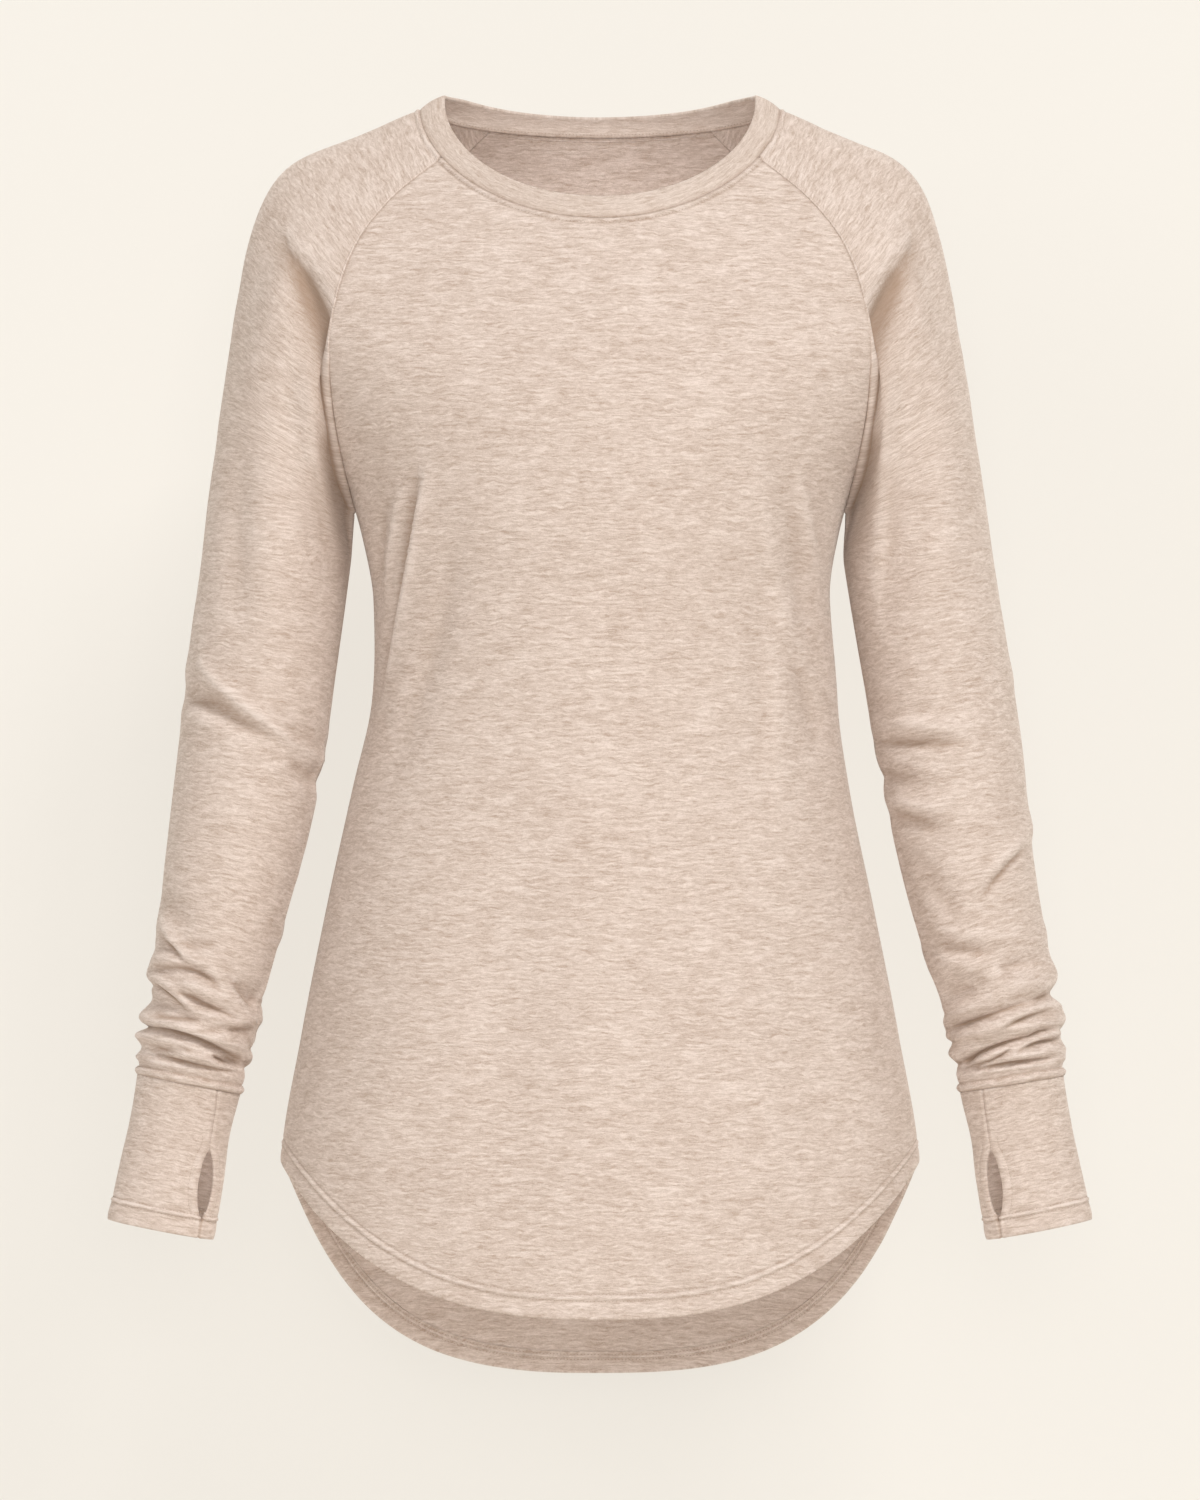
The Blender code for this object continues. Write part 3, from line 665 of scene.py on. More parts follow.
def unevenness(net, lumps, other, *calm):
    """Soft random unevenness of a net, for lumps of each size, quiet where their calm is 0."""
    lift = 0
    for (height, size, seed), part in zip(lumps, calm):
        seed += other
        shift = Vector((seed * 17.3, seed * 5.1, seed * 9.7))
        flat = net[..., :3].reshape(-1, 3) / size
        values = [noise.noise(Vector(point) + shift) for point in flat.tolist()]
        lift = lift + height * np.array(values).reshape(net.shape[:-1]) * part
    return lift


# ---- Nets of the pieces. Each point has its place, then its place in the knit.


def yoke_reach(raglan, depth_column, x, height):
    """How far the yoke stands out from the middle of the body at a place on it."""
    seam_x = read(raglan, "x", height)
    seam_y = np.abs(read(raglan, "y", height))
    depth = read(PROFILE, depth_column, height)
    limit = np.radians(read(raglan, "turn", height))
    bend = np.arcsin(np.clip(np.abs(x) / seam_x, 0, 1) * np.sin(limit))
    return seam_y + (depth - seam_y) * (np.cos(bend) - np.cos(limit)) / (1 - np.cos(limit))


def body_ring(depth_column, facing, height, turn):
    """Points of the body below the armpits, at heights and turns."""
    shift = WAIST_SHIFT * bump(height, WAIST_HEIGHT, WAIST_REACH)
    x = read(SIDES, "half_width", height) * np.sin(turn) + shift
    y = facing * read(PROFILE, depth_column, height) * np.cos(turn)
    return np.stack([x, y, height], -1)


def yoke_net(name, sweep, rows):
    """The panel above the armpits, from the underarm line up to the neckline."""
    facing, depth_column = FACES[name]
    front = facing < 0
    raglan = RAGLAN[name]
    corner = FRONT_RAGLAN_ANGLE if front else 180 - BACK_RAGLAN_ANGLE
    neckline = neck_line(BAND_SEAM, corner * sweep if front else 180 - corner * sweep)
    armpit = read(SIDES, "half_width", UNDERARM)
    top = raglan["height"].max()
    neckline_reach = yoke_reach(raglan, depth_column, neckline[:, 0], neckline[:, 2])
    gap = facing * neckline[:, 1] - neckline_reach
    net = []
    for part in np.arange(rows + 1) / rows:
        seam_height = UNDERARM + (top - UNDERARM) * part
        seam_x = read(raglan, "x", seam_height)
        x = (1 - part) * armpit * np.sin(np.radians(90 * sweep)) + part * neckline[:, 0]
        x += sweep * (seam_x - (1 - part) * armpit - part * neckline[-1, 0])
        height = seam_height + part * (neckline[:, 2] - neckline[-1, 2])
        reach = yoke_reach(raglan, depth_column, x, height)
        net.append(np.stack([x, facing * (reach + part**2 * gap), height], -1))
    return np.array(net)


def seam_steps(steps):
    """Distances from a seam's line of the rows or columns nearest to it."""
    return tuple(SEAM_INSET + step for step in steps)


def hem_distances(name):
    """Distances above a hem of the rows that hold its stitches and its raw edge."""
    low, high = HEM_ROWS[name]
    edge = HEM_ALLOWANCE[name]
    top = edge + HEM_MARGIN
    ridge = (low + high) / 2
    lower = (low - 0.9, low - 0.4, low, low + 0.4, low + 1.1)
    upper = (high - 1.1, high - 0.4, high, high + 0.4)
    raw = (edge - 0.25, edge + 0.25, edge + 1.2)
    return np.array(sorted([*HEM_STEPS, *lower, ridge, *upper, *raw, top]))


def panel_net(name):
    """Front or back: rows from the hem up to the neckline, columns from right to left."""
    facing, depth_column = FACES[name]
    front = facing < 0
    sweep = np.linspace(-1, 1, PANEL_COLUMNS + 1)
    turn = np.radians(90 * sweep)
    hem = hem_height(sweep, front)
    edge = body_ring(depth_column, facing, hem, turn)
    way = np.gradient(edge, axis=0)
    steep = np.linalg.norm(way, axis=-1) / np.hypot(way[:, 0], way[:, 1])
    above = hem_distances(name) + HEM_WALL / 2
    start = hem + above[-1] * steep
    parts = np.arange(1, BODY_ROWS + 1) / BODY_ROWS
    heights = [hem + distance * steep for distance in above]
    heights += [start + (UNDERARM - start) * part for part in parts]
    rows = [body_ring(depth_column, facing, height, turn) for height in heights]
    from_hem = (np.array(heights) - hem) / steep
    yoke = yoke_net(name, sweep, 4 * YOKE_ROWS)
    yoke = spread(yoke, 0, (0,), seam_steps(NECK_STEPS), YOKE_ROWS)
    net = np.concatenate([np.array(rows), yoke[1:]])
    from_hem = np.concatenate([from_hem, 0 * yoke[1:, :, 0] + FAR])
    join = smooth_step(np.abs(net[..., 2] - UNDERARM), 10, 45)
    hold = np.maximum(join, smooth_step(np.abs(sweep), 0.985, 1))
    net = relaxed(net, PANEL_RELAXING, hold)
    near = seam_steps(SEAM_STEPS)
    net = spread(np.concatenate([net, from_hem[..., None]], -1), 1, near, near, PANEL_COLUMNS)
    return np.concatenate([net[..., :3], panel_knit(net, depth_column), net[..., 3:]], -1)


def panel_knit(net, depth_column):
    """Place in the knit on a panel: courses run across, and the height is measured on the cloth."""
    heights = np.arange(-880, 40, 4.0)
    depth = read(PROFILE, depth_column, np.clip(heights, -850, -5))
    climb = np.cumsum(np.hypot(4, np.gradient(depth)))
    course = np.interp(net[..., 2], heights, climb)
    return np.stack([net[..., 0], net[..., 1], course], -1)


def arm_middle(side, height):
    """A point on an arm's centre line, laid out on the wearer's left."""
    return np.array([read(ARM, side + "_x", height), read(ARM, "y", height), height])


def arm_ring(side, height, angles):
    """One ring of cloth round an arm, square to its centre line, laid out on the wearer's left."""
    down = unit(arm_middle(side, height - TILT_REACH) - arm_middle(side, height + TILT_REACH))
    outward = unit(np.array([1, 0, 0]) - down[0] * down)
    forward = np.cross(down, outward)
    turn = np.radians(angles)[:, None]
    across = read(ARM, "half_width", height) * np.cos(turn)
    through = read(ARM, "half_depth", height) * np.sin(turn)
    points = arm_middle(side, height) + across * outward + through * forward
    return np.concatenate([points, across, through, np.full_like(across, height)], -1)


def cap_net(side):
    """The sleeve from the raglan seams and the neckline down to its first whole ring."""
    angles = np.linspace(180, -180, SLEEVE_COLUMNS + 1)
    turn = np.radians(angles)
    # The yokes' last columns, for their edges and the way that they face there.
    sweep = np.linspace(0.9, 1, 5)
    front = yoke_net("front_panel", sweep, YOKE_ROWS)
    back = yoke_net("back_panel", sweep, YOKE_ROWS)
    over = np.linspace(FRONT_RAGLAN_ANGLE, BACK_RAGLAN_ANGLE, SHOULDER_COLUMNS + 1)[1:-1]
    loop = np.concatenate([front[:, -1], neck_line(BAND_SEAM, over), back[::-1, -1]])
    top = ARM["height"].max()
    biceps = arm_ring(side, top, angles)[:, :3]
    arm_way = unit(arm_ring(side, top - TILT_REACH, angles)[:, :3] - biceps)
    lift = (1 + np.cos(turn)) / 2
    slope = np.radians(SHOULDER_SLOPE + (ARMPIT_SLOPE - SHOULDER_SLOPE) * (1 - lift) ** SLOPE_POWER)
    forward = -CAP_FORWARD * np.sin(turn) * (1 - lift) ** 2
    leave = unit(np.stack([np.cos(slope), forward, -np.sin(slope)], -1))
    front_normals = net_normals(front)[:, -1]
    back_normals = net_normals(back, True)[::-1, -1]
    across = np.linspace(1, -1, SHOULDER_COLUMNS + 1)[1:-1, None]
    over_normals = np.where(across > 0, front_normals[-1], back_normals[0])
    over_normals = over_normals * smooth_step(abs(across), 0, 1)
    normals = np.concatenate([front_normals, over_normals, back_normals])
    level = smooth_step(lift, LEVEL_FROM, LEVEL_FROM + LEVEL_OVER)[:, None]
    leave = unit(leave - level * normals * (leave * normals).sum(-1, keepdims=True))
    chord = np.linalg.norm(biceps - loop, axis=-1)[:, None]
    start_pull = chord * (1 + SHOULDER_REACH * lift)[:, None] * leave
    end_pull = chord * (ARM_PULL + SHOULDER_PULL * lift)[:, None] * arm_way
    part = np.linspace(0, 1, 2 * CAP_ROWS + 1)[:, None, None]
    net = eased(part, loop, biceps, start_pull, end_pull)
    # Drawn smooth round the arm, away from the raglan seams.
    loose = smooth_step(part, 0, 0.25) * (1 - part)
    for _ in range(CAP_RELAXING):
        ahead = np.roll(net[:, :-1], -1, axis=1)
        behind = np.roll(net[:, :-1], 1, axis=1)
        middle = (ahead + behind) / 2
        moved = 0.5 * loose * (middle - net[:, :-1])
        moved[:, 0] = 0
        net[:, :-1] += moved
    return net


def cap_knit(net):
    """Place in the knit on the cap: the courses fan out square to the arm."""
    out = net[..., 0] - FAN_X
    up = net[..., 2] - FAN_HEIGHT
    course = np.arctan2(up, out) * FAN_RADIUS
    return np.stack([np.hypot(out, up), -net[..., 1], course], -1)


def sleeve_net(side):
    """A sleeve, laid out on the wearer's left: rows from the raglan seams down to the cuff."""
    angles = np.linspace(180, -180, SLEEVE_COLUMNS + 1)
    top = ARM["height"].max()
    cap = spread(cap_net(side), 0, seam_steps(NECK_STEPS), (0,), CAP_ROWS)
    cap = np.concatenate([cap, cap_knit(cap)], -1)
    upper = np.arange(top - ARM_STEP, GATHERS_TOP, -ARM_STEP)
    lowest_gather = SLEEVE_END + SLEEVE_END_STEPS[-1] + 1
    gathered = np.arange(upper[-1] - GATHER_STEP, lowest_gather, -GATHER_STEP)
    end = SLEEVE_END + np.array(seam_steps(SLEEVE_END_STEPS[::-1]))
    rings = []
    for height in np.concatenate([upper, gathered, end]):
        turned = angles - UNDERARM_SEAM_TWIST * smooth_step(top - height, 0, 120)
        where = np.stack([turned, np.full_like(angles, height)], -1)
        rings.append(np.concatenate([arm_ring(side, height, turned), where], -1))
    rings = np.array(rings)
    # The knit runs on from the cap into the arm.
    ring_radius = np.hypot(*(arm_middle(side, top) - (FAN_X, 0, FAN_HEIGHT))[[0, 2]])
    first = arm_ring(side, top, angles)
    course = np.arctan2(top - FAN_HEIGHT, first[:, 0].mean() - FAN_X) * FAN_RADIUS
    rings[..., 3] += ring_radius
    rings[..., 4] -= read(ARM, "y", top)
    rings[..., 5] += course - top
    cap_angles = np.broadcast_to(angles, cap.shape[:2])
    where = np.stack([cap_angles, np.full(cap.shape[:2], top)], -1)
    cap = np.concatenate([cap, where], -1)
    blend = smooth_step(np.arange(len(cap)), len(cap) - 45, len(cap) - 1)[:, None]
    arm_knit_x = ring_radius + read(ARM, "half_width", top) * np.cos(np.radians(cap_angles))
    arm_course = course + cap[..., 2] - top
    cap[..., 3] += blend * (arm_knit_x - cap[..., 3])
    cap[..., 5] += blend * (arm_course - cap[..., 5])
    net = np.concatenate([cap, rings])
    from_join = np.abs(np.arange(len(net)) - len(cap))
    hold = smooth_step(from_join, 8, 30)[:, None] * np.ones(len(angles))
    net[..., :3] = relaxed(net[..., :3], SLEEVE_RELAXING, hold)
    near = seam_steps(SEAM_STEPS)
    return spread(net, 1, near, near, SLEEVE_COLUMNS)


def cuff_net(side):
    """A cuff, laid out on the wearer's left: rows from the sleeve down to its hem."""
    angles = np.linspace(0, -360, CUFF_COLUMNS + 1)
    top = SLEEVE_END - np.array(seam_steps(CUFF_TOP_STEPS))
    end = CUFF_END + hem_distances("cuff")[::-1] + HEM_WALL / 2
    middle = np.linspace(top[-1], end[0], CUFF_ROWS + 1)[1:-1]
    rows = []
    for height in np.concatenate([top, middle, end]):
        along = (SLEEVE_END - height) / (SLEEVE_END - CUFF_END)
        hole = read(THUMBHOLE, "half_width", height) / read(ARM, "half_width", height)
        hole = np.degrees(hole)
        opened = angles * (1 - 2 * hole / 360) - hole
        rows.append(arm_ring(side, height, CUFF_SEAM_ANGLE + CUFF_TWIST * along**0.5 + opened))
    near = seam_steps(HOLE_STEPS)
    return spread(np.array(rows), 1, near, near, CUFF_COLUMNS)


def band_net():
    """The neckband: rows from its seam up to its folded edge, columns round the neck."""
    # Its ends are joined at the back raglan on the wearer's left.
    angles = np.linspace(BACK_RAGLAN_ANGLE - 360, BACK_RAGLAN_ANGLE, BAND_COLUMNS + 1)
    seam, edge = neck_line(BAND_SEAM, angles), neck_line(BAND_EDGE, angles)
    middle = (seam + edge) / 2
    along = np.roll(middle[:-1], -1, axis=0) - np.roll(middle[:-1], 1, axis=0)
    along = np.append(along, along[:1], axis=0)
    out = unit(np.cross(along, edge - seam))
    parts = np.linspace(0, 1, 41)[:, None, None]
    net = seam + parts * (edge - seam) + 4 * parts * (1 - parts) * BAND_BELLY * out
    inset = BAND_WALL / 2
    low = 0.8 * inset
    net = spread(net, 0, (low, low + 0.5, low + 1.1), (inset, inset + 0.6), BAND_ROWS)
    turn = np.radians(angles)
    round_neck = np.broadcast_to(np.cumsum(np.linalg.norm(along, axis=-1)) / 2, net.shape[:2])
    across = lengths_along(net, 0)
    knit = np.stack([round_neck, 0 * across + np.sin(turn) * 3, across], -1)
    return np.concatenate([net, knit], -1)


# ---- Meshes


def border_loops(rows, columns, closed):
    """The point numbers along each border of a net, in order round it."""
    grid = np.arange(rows * columns).reshape(rows, columns)
    if closed:
        return [grid[0, :-1], grid[-1, :-1][::-1]]
    return [np.concatenate([grid[0, :-1], grid[:-1, -1], grid[-1, :0:-1], grid[:0:-1, 0]])]


def shell(outer, normals, wall, closed):
    """Points and faces of a closed wall on a net, with rounded edges that stand half a wall out.

    The direction of the columns, crossed with that of the rows, is the way the net faces.
    """
    rows, columns = outer.shape[:2]
    flat = outer.reshape(-1, 3)
    flat_normals = normals.reshape(-1, 3)
    flat_wall = np.broadcast_to(wall, (rows, columns)).reshape(-1, 1)
    inner = flat - flat_normals * flat_wall
    points = [flat, inner]
    count = len(flat)
    grid = np.arange(count).reshape(rows, columns)
    if closed:
        grid = np.concatenate([grid[:, :-1], grid[:, :1]], axis=1)
    corners = (grid[:-1, :-1], grid[:-1, 1:], grid[1:, 1:], grid[1:, :-1])
    quads = np.stack([corner.ravel() for corner in corners], -1)
    faces = [quads, quads[:, ::-1] + count]
    total = 2 * count
    for loop in border_loops(rows, columns, closed):
        edge, edge_normals, edge_wall = flat[loop], flat_normals[loop], flat_wall[loop]
        way = unit(np.roll(edge, -1, axis=0) - np.roll(edge, 1, axis=0))
        out = unit(np.cross(way, edge_normals))
        strips = [loop]
        for k in range(1, ROUNDING):
            turn = np.pi * k / ROUNDING
            sink = np.sign(np.cos(turn)) * abs(np.cos(turn)) ** SQUARENESS - 1
            reach = np.sin(turn) ** SQUARENESS
            points.append(edge + edge_wall / 2 * (sink * edge_normals + reach * out))
            strips.append(np.arange(total, total + len(loop)))
            total += len(loop)
        strips.append(loop + count)
        for one, other in zip(strips, strips[1:]):
            faces.append(np.stack([one, other, np.roll(other, -1), np.roll(one, -1)], -1))
    return np.concatenate(points), np.concatenate(faces)


def creases(height):
    """How far each point lies in a crease, from -1 on a ridge to 1 at the bottom of a trough."""
    around = height
    for _ in range(CREASE_SPREAD):
        for _ in range(2):
            ends = np.concatenate([around[:1], around, around[-1:]])
            around = ((ends[:-2] + ends[2:]) / 4 + around / 2).T
    return np.clip((around - height) / CREASE_DEPTH, -1, 1)


def placed(name, data, place=(0, 0, 0), turn=(0, 0, 0)):
    """A new object in the scene."""
    item = bpy.data.objects.new(name, data)
    item.location = place
    item.rotation_euler = turn
    bpy.context.scene.collection.objects.link(item)
    return item


def mesh_object(name, points, faces, material, knit=None, crease=None, mirrored=False):
    """A smooth mesh object at the origin, from points in millimetres."""
    if mirrored:
        points = points * MIRROR
        faces = faces[:, ::-1]
    mesh = bpy.data.meshes.new(name)
    used, index = np.unique(faces, return_inverse=True)
    points = points[used]
    faces = index.reshape(faces.shape)
    mesh.from_pydata((points * MM).tolist(), [], faces.tolist())
    mesh.materials.append(material)
    mesh.shade_smooth()
    if knit is not None:
        place = mesh.attributes.new("knit", "FLOAT_VECTOR", "POINT")
        place.data.foreach_set("vector", knit[used].astype(np.float32).ravel())
        # The painted shade and painted light of each point: the knit's colour is darkened in
        # creases, sharp troughs, seams and stitch rows, and lightened on ridges.
        depth = mesh.attributes.new("crease", "FLOAT", "POINT")
        depth.data.foreach_set("value", crease[used].astype(np.float32))
    return placed(name, mesh)


def closed_piece(
    name, net, normals, wall, shades, material, flip=False, closed=False, mirrored=False
):
    """A cloth piece from its net of points and places in the knit.

    The shades are the painted shade and painted light on its outer and its inner face.
    """
    wall = np.broadcast_to(wall, net.shape[:2])
    if flip:
        net, normals, wall = net[:, ::-1], normals[:, ::-1], wall[:, ::-1]
        shades = [shade[:, ::-1] for shade in shades]
    points, faces = shell(net[..., :3], normals, wall, closed)
    rims = border_loops(*net.shape[:2], closed)
    knit = net[..., 3:6].reshape(-1, 3)
    carried = []
    for outer, inner in ((knit, knit), [shade.reshape(-1) for shade in shades]):
        around = [outer[rim] for rim in rims for _ in range(ROUNDING - 1)]
        carried.append(np.concatenate([outer, inner, *around]))
    return mesh_object(name, points, faces, material, *carried, mirrored=mirrored)


def grown(net, rise, relief, flip=False, closed=False):
    """The net lifted along its normals, first by its folds and then by the relief of its face."""
    net = net.copy()
    for lift in (rise, relief):
        net[..., :3] += net_normals(net[..., :3], flip, closed) * lift[..., None]
        if closed:
            net[:, -1] = net[:, 0]
    return net, net_normals(net[..., :3], flip, closed)


def edge_distances(net):
    """Distance of each point from the net's first row, last row, and nearer side edge."""
    down = lengths_along(net, 0)
    across = lengths_along(net, 1)
    return down, down[-1:] - down, np.minimum(across, across[:, -1:] - across)


def hem_relief(name, distance):
    """Relief of a hem: sunken stitch rows, a soft ridge between them, and a swell below them."""
    low, high = HEM_ROWS[name]
    ridge = 0.75 * bump(distance, (low + high) / 2, (high - low) * 0.3)
    rows = -0.55 * (bump(distance, low, 0.8) + bump(distance, high, 0.8))
    swell = 0.5 * bump(distance, low * 0.45, low * 0.35)
    return ridge + rows + swell


def stitch_shade(name, distance):
    """Painted shade in a hem's two stitch rows, and painted light on the ridge between them."""
    low, high = HEM_ROWS[name]
    rows = 0.33 * (bump(distance, low, 0.6) + bump(distance, high, 0.6))
    return rows - 0.6 * bump(distance, (low + high) / 2, (high - low) * 0.25)


def hem_walls(name, distance):
    """Wall of a piece whose hem is two layers."""
    return WALL + (HEM_WALL - WALL) * (distance < HEM_ALLOWANCE[name])


def make_panel(name, material):
    """The front or the back."""
    front = name == "front_panel"
    net = panel_net(name)
    _, down, side = edge_distances(net)
    x, height, hem = net[..., 0], net[..., 2], net[..., 6]
    fade = smooth_step(side, 0, 14) * smooth_step(down, 0, 16) * smooth_step(hem, 0, 55)
    rise, dark = (part * fade for part in fold_rise(FOLDS[name], x, height))
    wide = smooth_step(side, 0, 30) * smooth_step(down, 5, 60)
    small = smooth_step(side, 0, 12) * smooth_step(down, 0, 12)
    rise += unevenness(net, PANEL_LUMPS, front, wide, small)
    # The hem waves a little.
    rise += 0.8 * np.sin(x / 23 + 2 * front) * bump(hem, 0, 16) * smooth_step(side, 0, 40)
    relief = hem_relief(name, hem) + beside(down, PANEL_NECK)
    raglan = smooth_step(height, UNDERARM - 4, UNDERARM + 10)
    relief += beside(side, PANEL_RAGLAN) * raglan + beside(side, PANEL_SIDE) * (1 - raglan)
    # Painted shade in creases, sharp troughs, along the neckline and in the hem's stitch rows, and
    # painted light on ridges.
    crease = creases(rise + relief) + 0.4 * dark + beside(down, PANEL_NECK_SHADE)
    crease += stitch_shade(name, hem)
    net, normals = grown(net, rise, relief, not front)
    wall = hem_walls(name, hem) + relief
    # Painted shade along the raglan seam, on the outer face only.
    shades = crease + beside(side, PANEL_RAGLAN_SHADE) * raglan, crease
    piece = closed_piece(name + "_cloth", net, normals, wall, shades, material, flip=not front)
    return piece, net, normals, hem, net[..., :3] - normals * wall[..., None]


def make_sleeve(side, material):
    """A sleeve, with the creases that run into the armpit and the gathers above the cuff."""
    net = sleeve_net(side)
    place, angle, level = net[..., :6], net[..., 6], net[..., 7]
    normals = net_normals(place[..., :3], True)
    down, up, underarm = edge_distances(place)
    facing = -normals[..., 1]
    seam = smooth_step(underarm, 0, 9)
    ends = smooth_step(down, 1, 22) * smooth_step(up, 6.8, 11)
    front = smooth_step(facing, -0.2, 0.15)
    out, height = place[..., 0], place[..., 2]
    rise, dark = (part * front for part in fold_rise(SLEEVE_FRONT_FOLDS[side], out, height))
    armpit, _ = fold_rise(ARMPIT_FOLDS[side], out, height)
    armpit *= smooth_step(facing, -0.1, 0.3) * smooth_step(down, 0.2, 3.2)
    armpit *= smooth_step(underarm, 0, 7)
    level = np.where(level < ARM["height"].max() - 1, level, FAR)
    for shift in (-360, 0, 360):
        round_arm, deep = fold_rise(SLEEVE_FOLDS[side], angle + shift, level, AROUND_PER_DEGREE)
        rise, dark = rise + round_arm, np.maximum(dark, deep)
    rise = SLEEVE_FOLD_DEPTH * rise * ends * (0.35 + 0.65 * seam) + armpit
    wide = smooth_step(down, 8, 50) * smooth_step(up, 8, 40) * smooth_step(underarm, 0, 22)
    small = smooth_step(underarm, 0, 10)
    rise += unevenness(place, SLEEVE_LUMPS, side == "left", wide, small)
    rise += beside(up, SLEEVE_ROLL)
    relief = beside(down, SLEEVE_NECK) + beside(underarm, UNDERARM_SEAM) + beside(up, SLEEVE_HEM)
    # Painted shade in creases, sharp troughs, at the sleeve's end and beside the neckline, and
    # painted light on ridges and the raglan ridge.
    crease = creases(rise + relief) + dark * ends
    crease += beside(up, SLEEVE_END_SHADE) + beside(down, SLEEVE_TOP_SHADE)
    # Painted shade on the cloth that the armpit hides from the light, and in the crease that runs
    # into the armpit.
    drop = -height
    hidden = np.exp(-down / 6) * smooth_step(drop, 150, 190)
    upper_arm = smooth_step(drop, 250, 270) * (1 - smooth_step(drop, 340, 470))
    hidden += 0.5 * np.exp(-underarm / 9) * upper_arm
    crease += front * hidden + np.clip(-armpit / 7, 0, 1.1)
    place, normals = grown(place, rise, relief, True)
    name, shades = f"sleeve_{side}_cloth", (crease, 0 * crease)
    mirrored = side == "right"
    piece = closed_piece(
        name, place, normals, WALL + relief, shades, material, True, mirrored=mirrored
    )
    return piece, place, normals


def make_cuff(side, material):
    """A cuff, open along its seam at the thumbhole."""
    net = cuff_net(side)
    down, up, edge = edge_distances(net)
    height = net[..., 2]
    hem = up + HEM_WALL / 2
    rise = unevenness(net, CUFF_LUMPS, side == "left", smooth_step(down, 0, 10))
    relief = hem_relief("cuff", hem)
    hole = smooth_step(height, -720, -712) * (1 - smooth_step(height, -673, -665))
    relief += beside(edge, HOLE_EDGE) * hole + beside(edge, CUFF_SEAM) * (1 - hole)
    # Painted shade in creases, the hem's stitch rows and beside the seam, and painted light on
    # ridges and the hem's ridge.
    crease = creases(rise + relief) + stitch_shade("cuff", hem)
    crease += beside(edge, CUFF_EDGE_SHADE) * (1 - smooth_step(height, -719, -715))
    net, normals = grown(net, rise, relief, True)
    wall = hem_walls("cuff", hem) + relief + 0.6 * hole * (edge < 5.2)
    name, mirrored = f"cuff_{side}_cloth", side == "right"
    shades = crease, crease
    piece = closed_piece(name, net, normals, wall, shades, material, True, mirrored=mirrored)
    return piece, net, normals, hem, edge


def make_neckband(material):
    """The neckband, folded in two along its edge."""
    net = band_net()
    up = lengths_along(net, 0)
    rise = unevenness(net, BAND_LUMPS, 0, 1)
    # Painted shade along the band's seam.
    crease = beside(up, BAND_SHADE)
    net, normals = grown(net, rise, 0 * rise, closed=True)
    shades = crease, crease
    piece = closed_piece("neckband_cloth", net, normals, BAND_WALL, shades, material, closed=True)
    return piece, net, normals, up


# ---- Stitches


def stitch_run(points, normals, sink):
    """Places and normals of the stitches along a row of points."""
    steps = np.linalg.norm(np.diff(points, axis=0), axis=1)
    lengths = np.concatenate([[0], np.cumsum(steps)])
    count = int((lengths[-1] - STITCH_LENGTH) / STITCH_PITCH)
    middles = STITCH_PITCH * np.arange(count) + STITCH_LENGTH / 2
    places = middles[:, None] + STITCH_LENGTH / 2 * np.array([-1, 0, 1])
    at = np.stack([np.interp(places, lengths, points[:, i]) for i in range(3)], -1)
    facing = [np.interp(middles, lengths, normals[:, i]) for i in range(3)]
    facing = unit(np.stack(facing, -1))
    return at - sink * facing[:, None], facing


def stitch_mesh(runs):
    """Points and faces of spindle stitches, for runs of stitch places."""
    at, facing = (np.concatenate(parts) for parts in zip(*runs))
    way = unit(at[:, 2] - at[:, 0])
    side = unit(np.cross(way, facing))
    up = np.cross(side, way)[:, None]
    turns = 2 * np.pi * np.arange(STITCH_SIDES)[:, None] / STITCH_SIDES
    ring = np.cos(turns) * side[:, None] + 0.8 * np.sin(turns) * up
    middle = at[:, 1:2] + STITCH_RISE * up
    points = np.concatenate([at[:, ::2] - STITCH_DIP * up, middle + ring * STITCH_WIDTH / 2], 1)
    k = np.arange(STITCH_SIDES)
    after = (k + 1) % STITCH_SIDES
    start_faces = np.stack([0 * k, 2 + after, 2 + k], -1)
    end_faces = np.stack([0 * k + 1, 2 + k, 2 + after], -1)
    faces = np.concatenate([start_faces, end_faces])
    faces = faces + (np.arange(len(at)) * (2 + STITCH_SIDES))[:, None, None]
    return points.reshape(-1, 3), faces.reshape(-1, 3)


def row_at(net, normals, distances, wanted):
    """The line across a net at a wanted value of a distance that rises or falls down its rows."""
    both = np.concatenate([net[..., :3], normals], -1)
    line = []
    for column in range(net.shape[1]):
        order = np.argsort(distances[:, column])
        along = distances[order, column]
        line.append([np.interp(wanted, along, both[order, column, i]) for i in range(6)])
    line = np.array(line)
    return line[:, :3], unit(line[:, 3:])


def stitch_row(net, normals, distances, wanted, sink=STITCH_SINK):
    """The stitches across a net at a wanted distance."""
    return stitch_run(*row_at(net, normals, distances, wanted), sink)


def add_stitches(name, runs, material, mirrored=False):
    """One mesh of stitches for a piece."""
    points, faces = stitch_mesh(runs)
    return mesh_object(name, points, faces, material, mirrored=mirrored)


# ---- Finishes

KNIT_LIGHT = (0.725, 0.625, 0.572)
KNIT_DARK = (0.455, 0.352, 0.292)
BAND_LIGHT = (0.68, 0.585, 0.53)
BAND_DARK = (0.46, 0.36, 0.30)
# The colour towards which painted shade in creases, seams and the armpit takes the knit.
SHADE = (0.33, 0.225, 0.16)
KNIT_SURFACE = {
    "Roughness": 0.95,
    "Specular IOR Level": 0.15,
    "Sheen Weight": 0.35,
    "Sheen Roughness": 0.45,
    "Sheen Tint": (1, 0.93, 0.86, 1),
}
THREAD_DARK = (0.33, 0.245, 0.19)
THREAD_LIGHT = (0.47, 0.37, 0.30)
THREAD_SURFACE = {"Roughness": 0.8, "Specular IOR Level": 0.2}


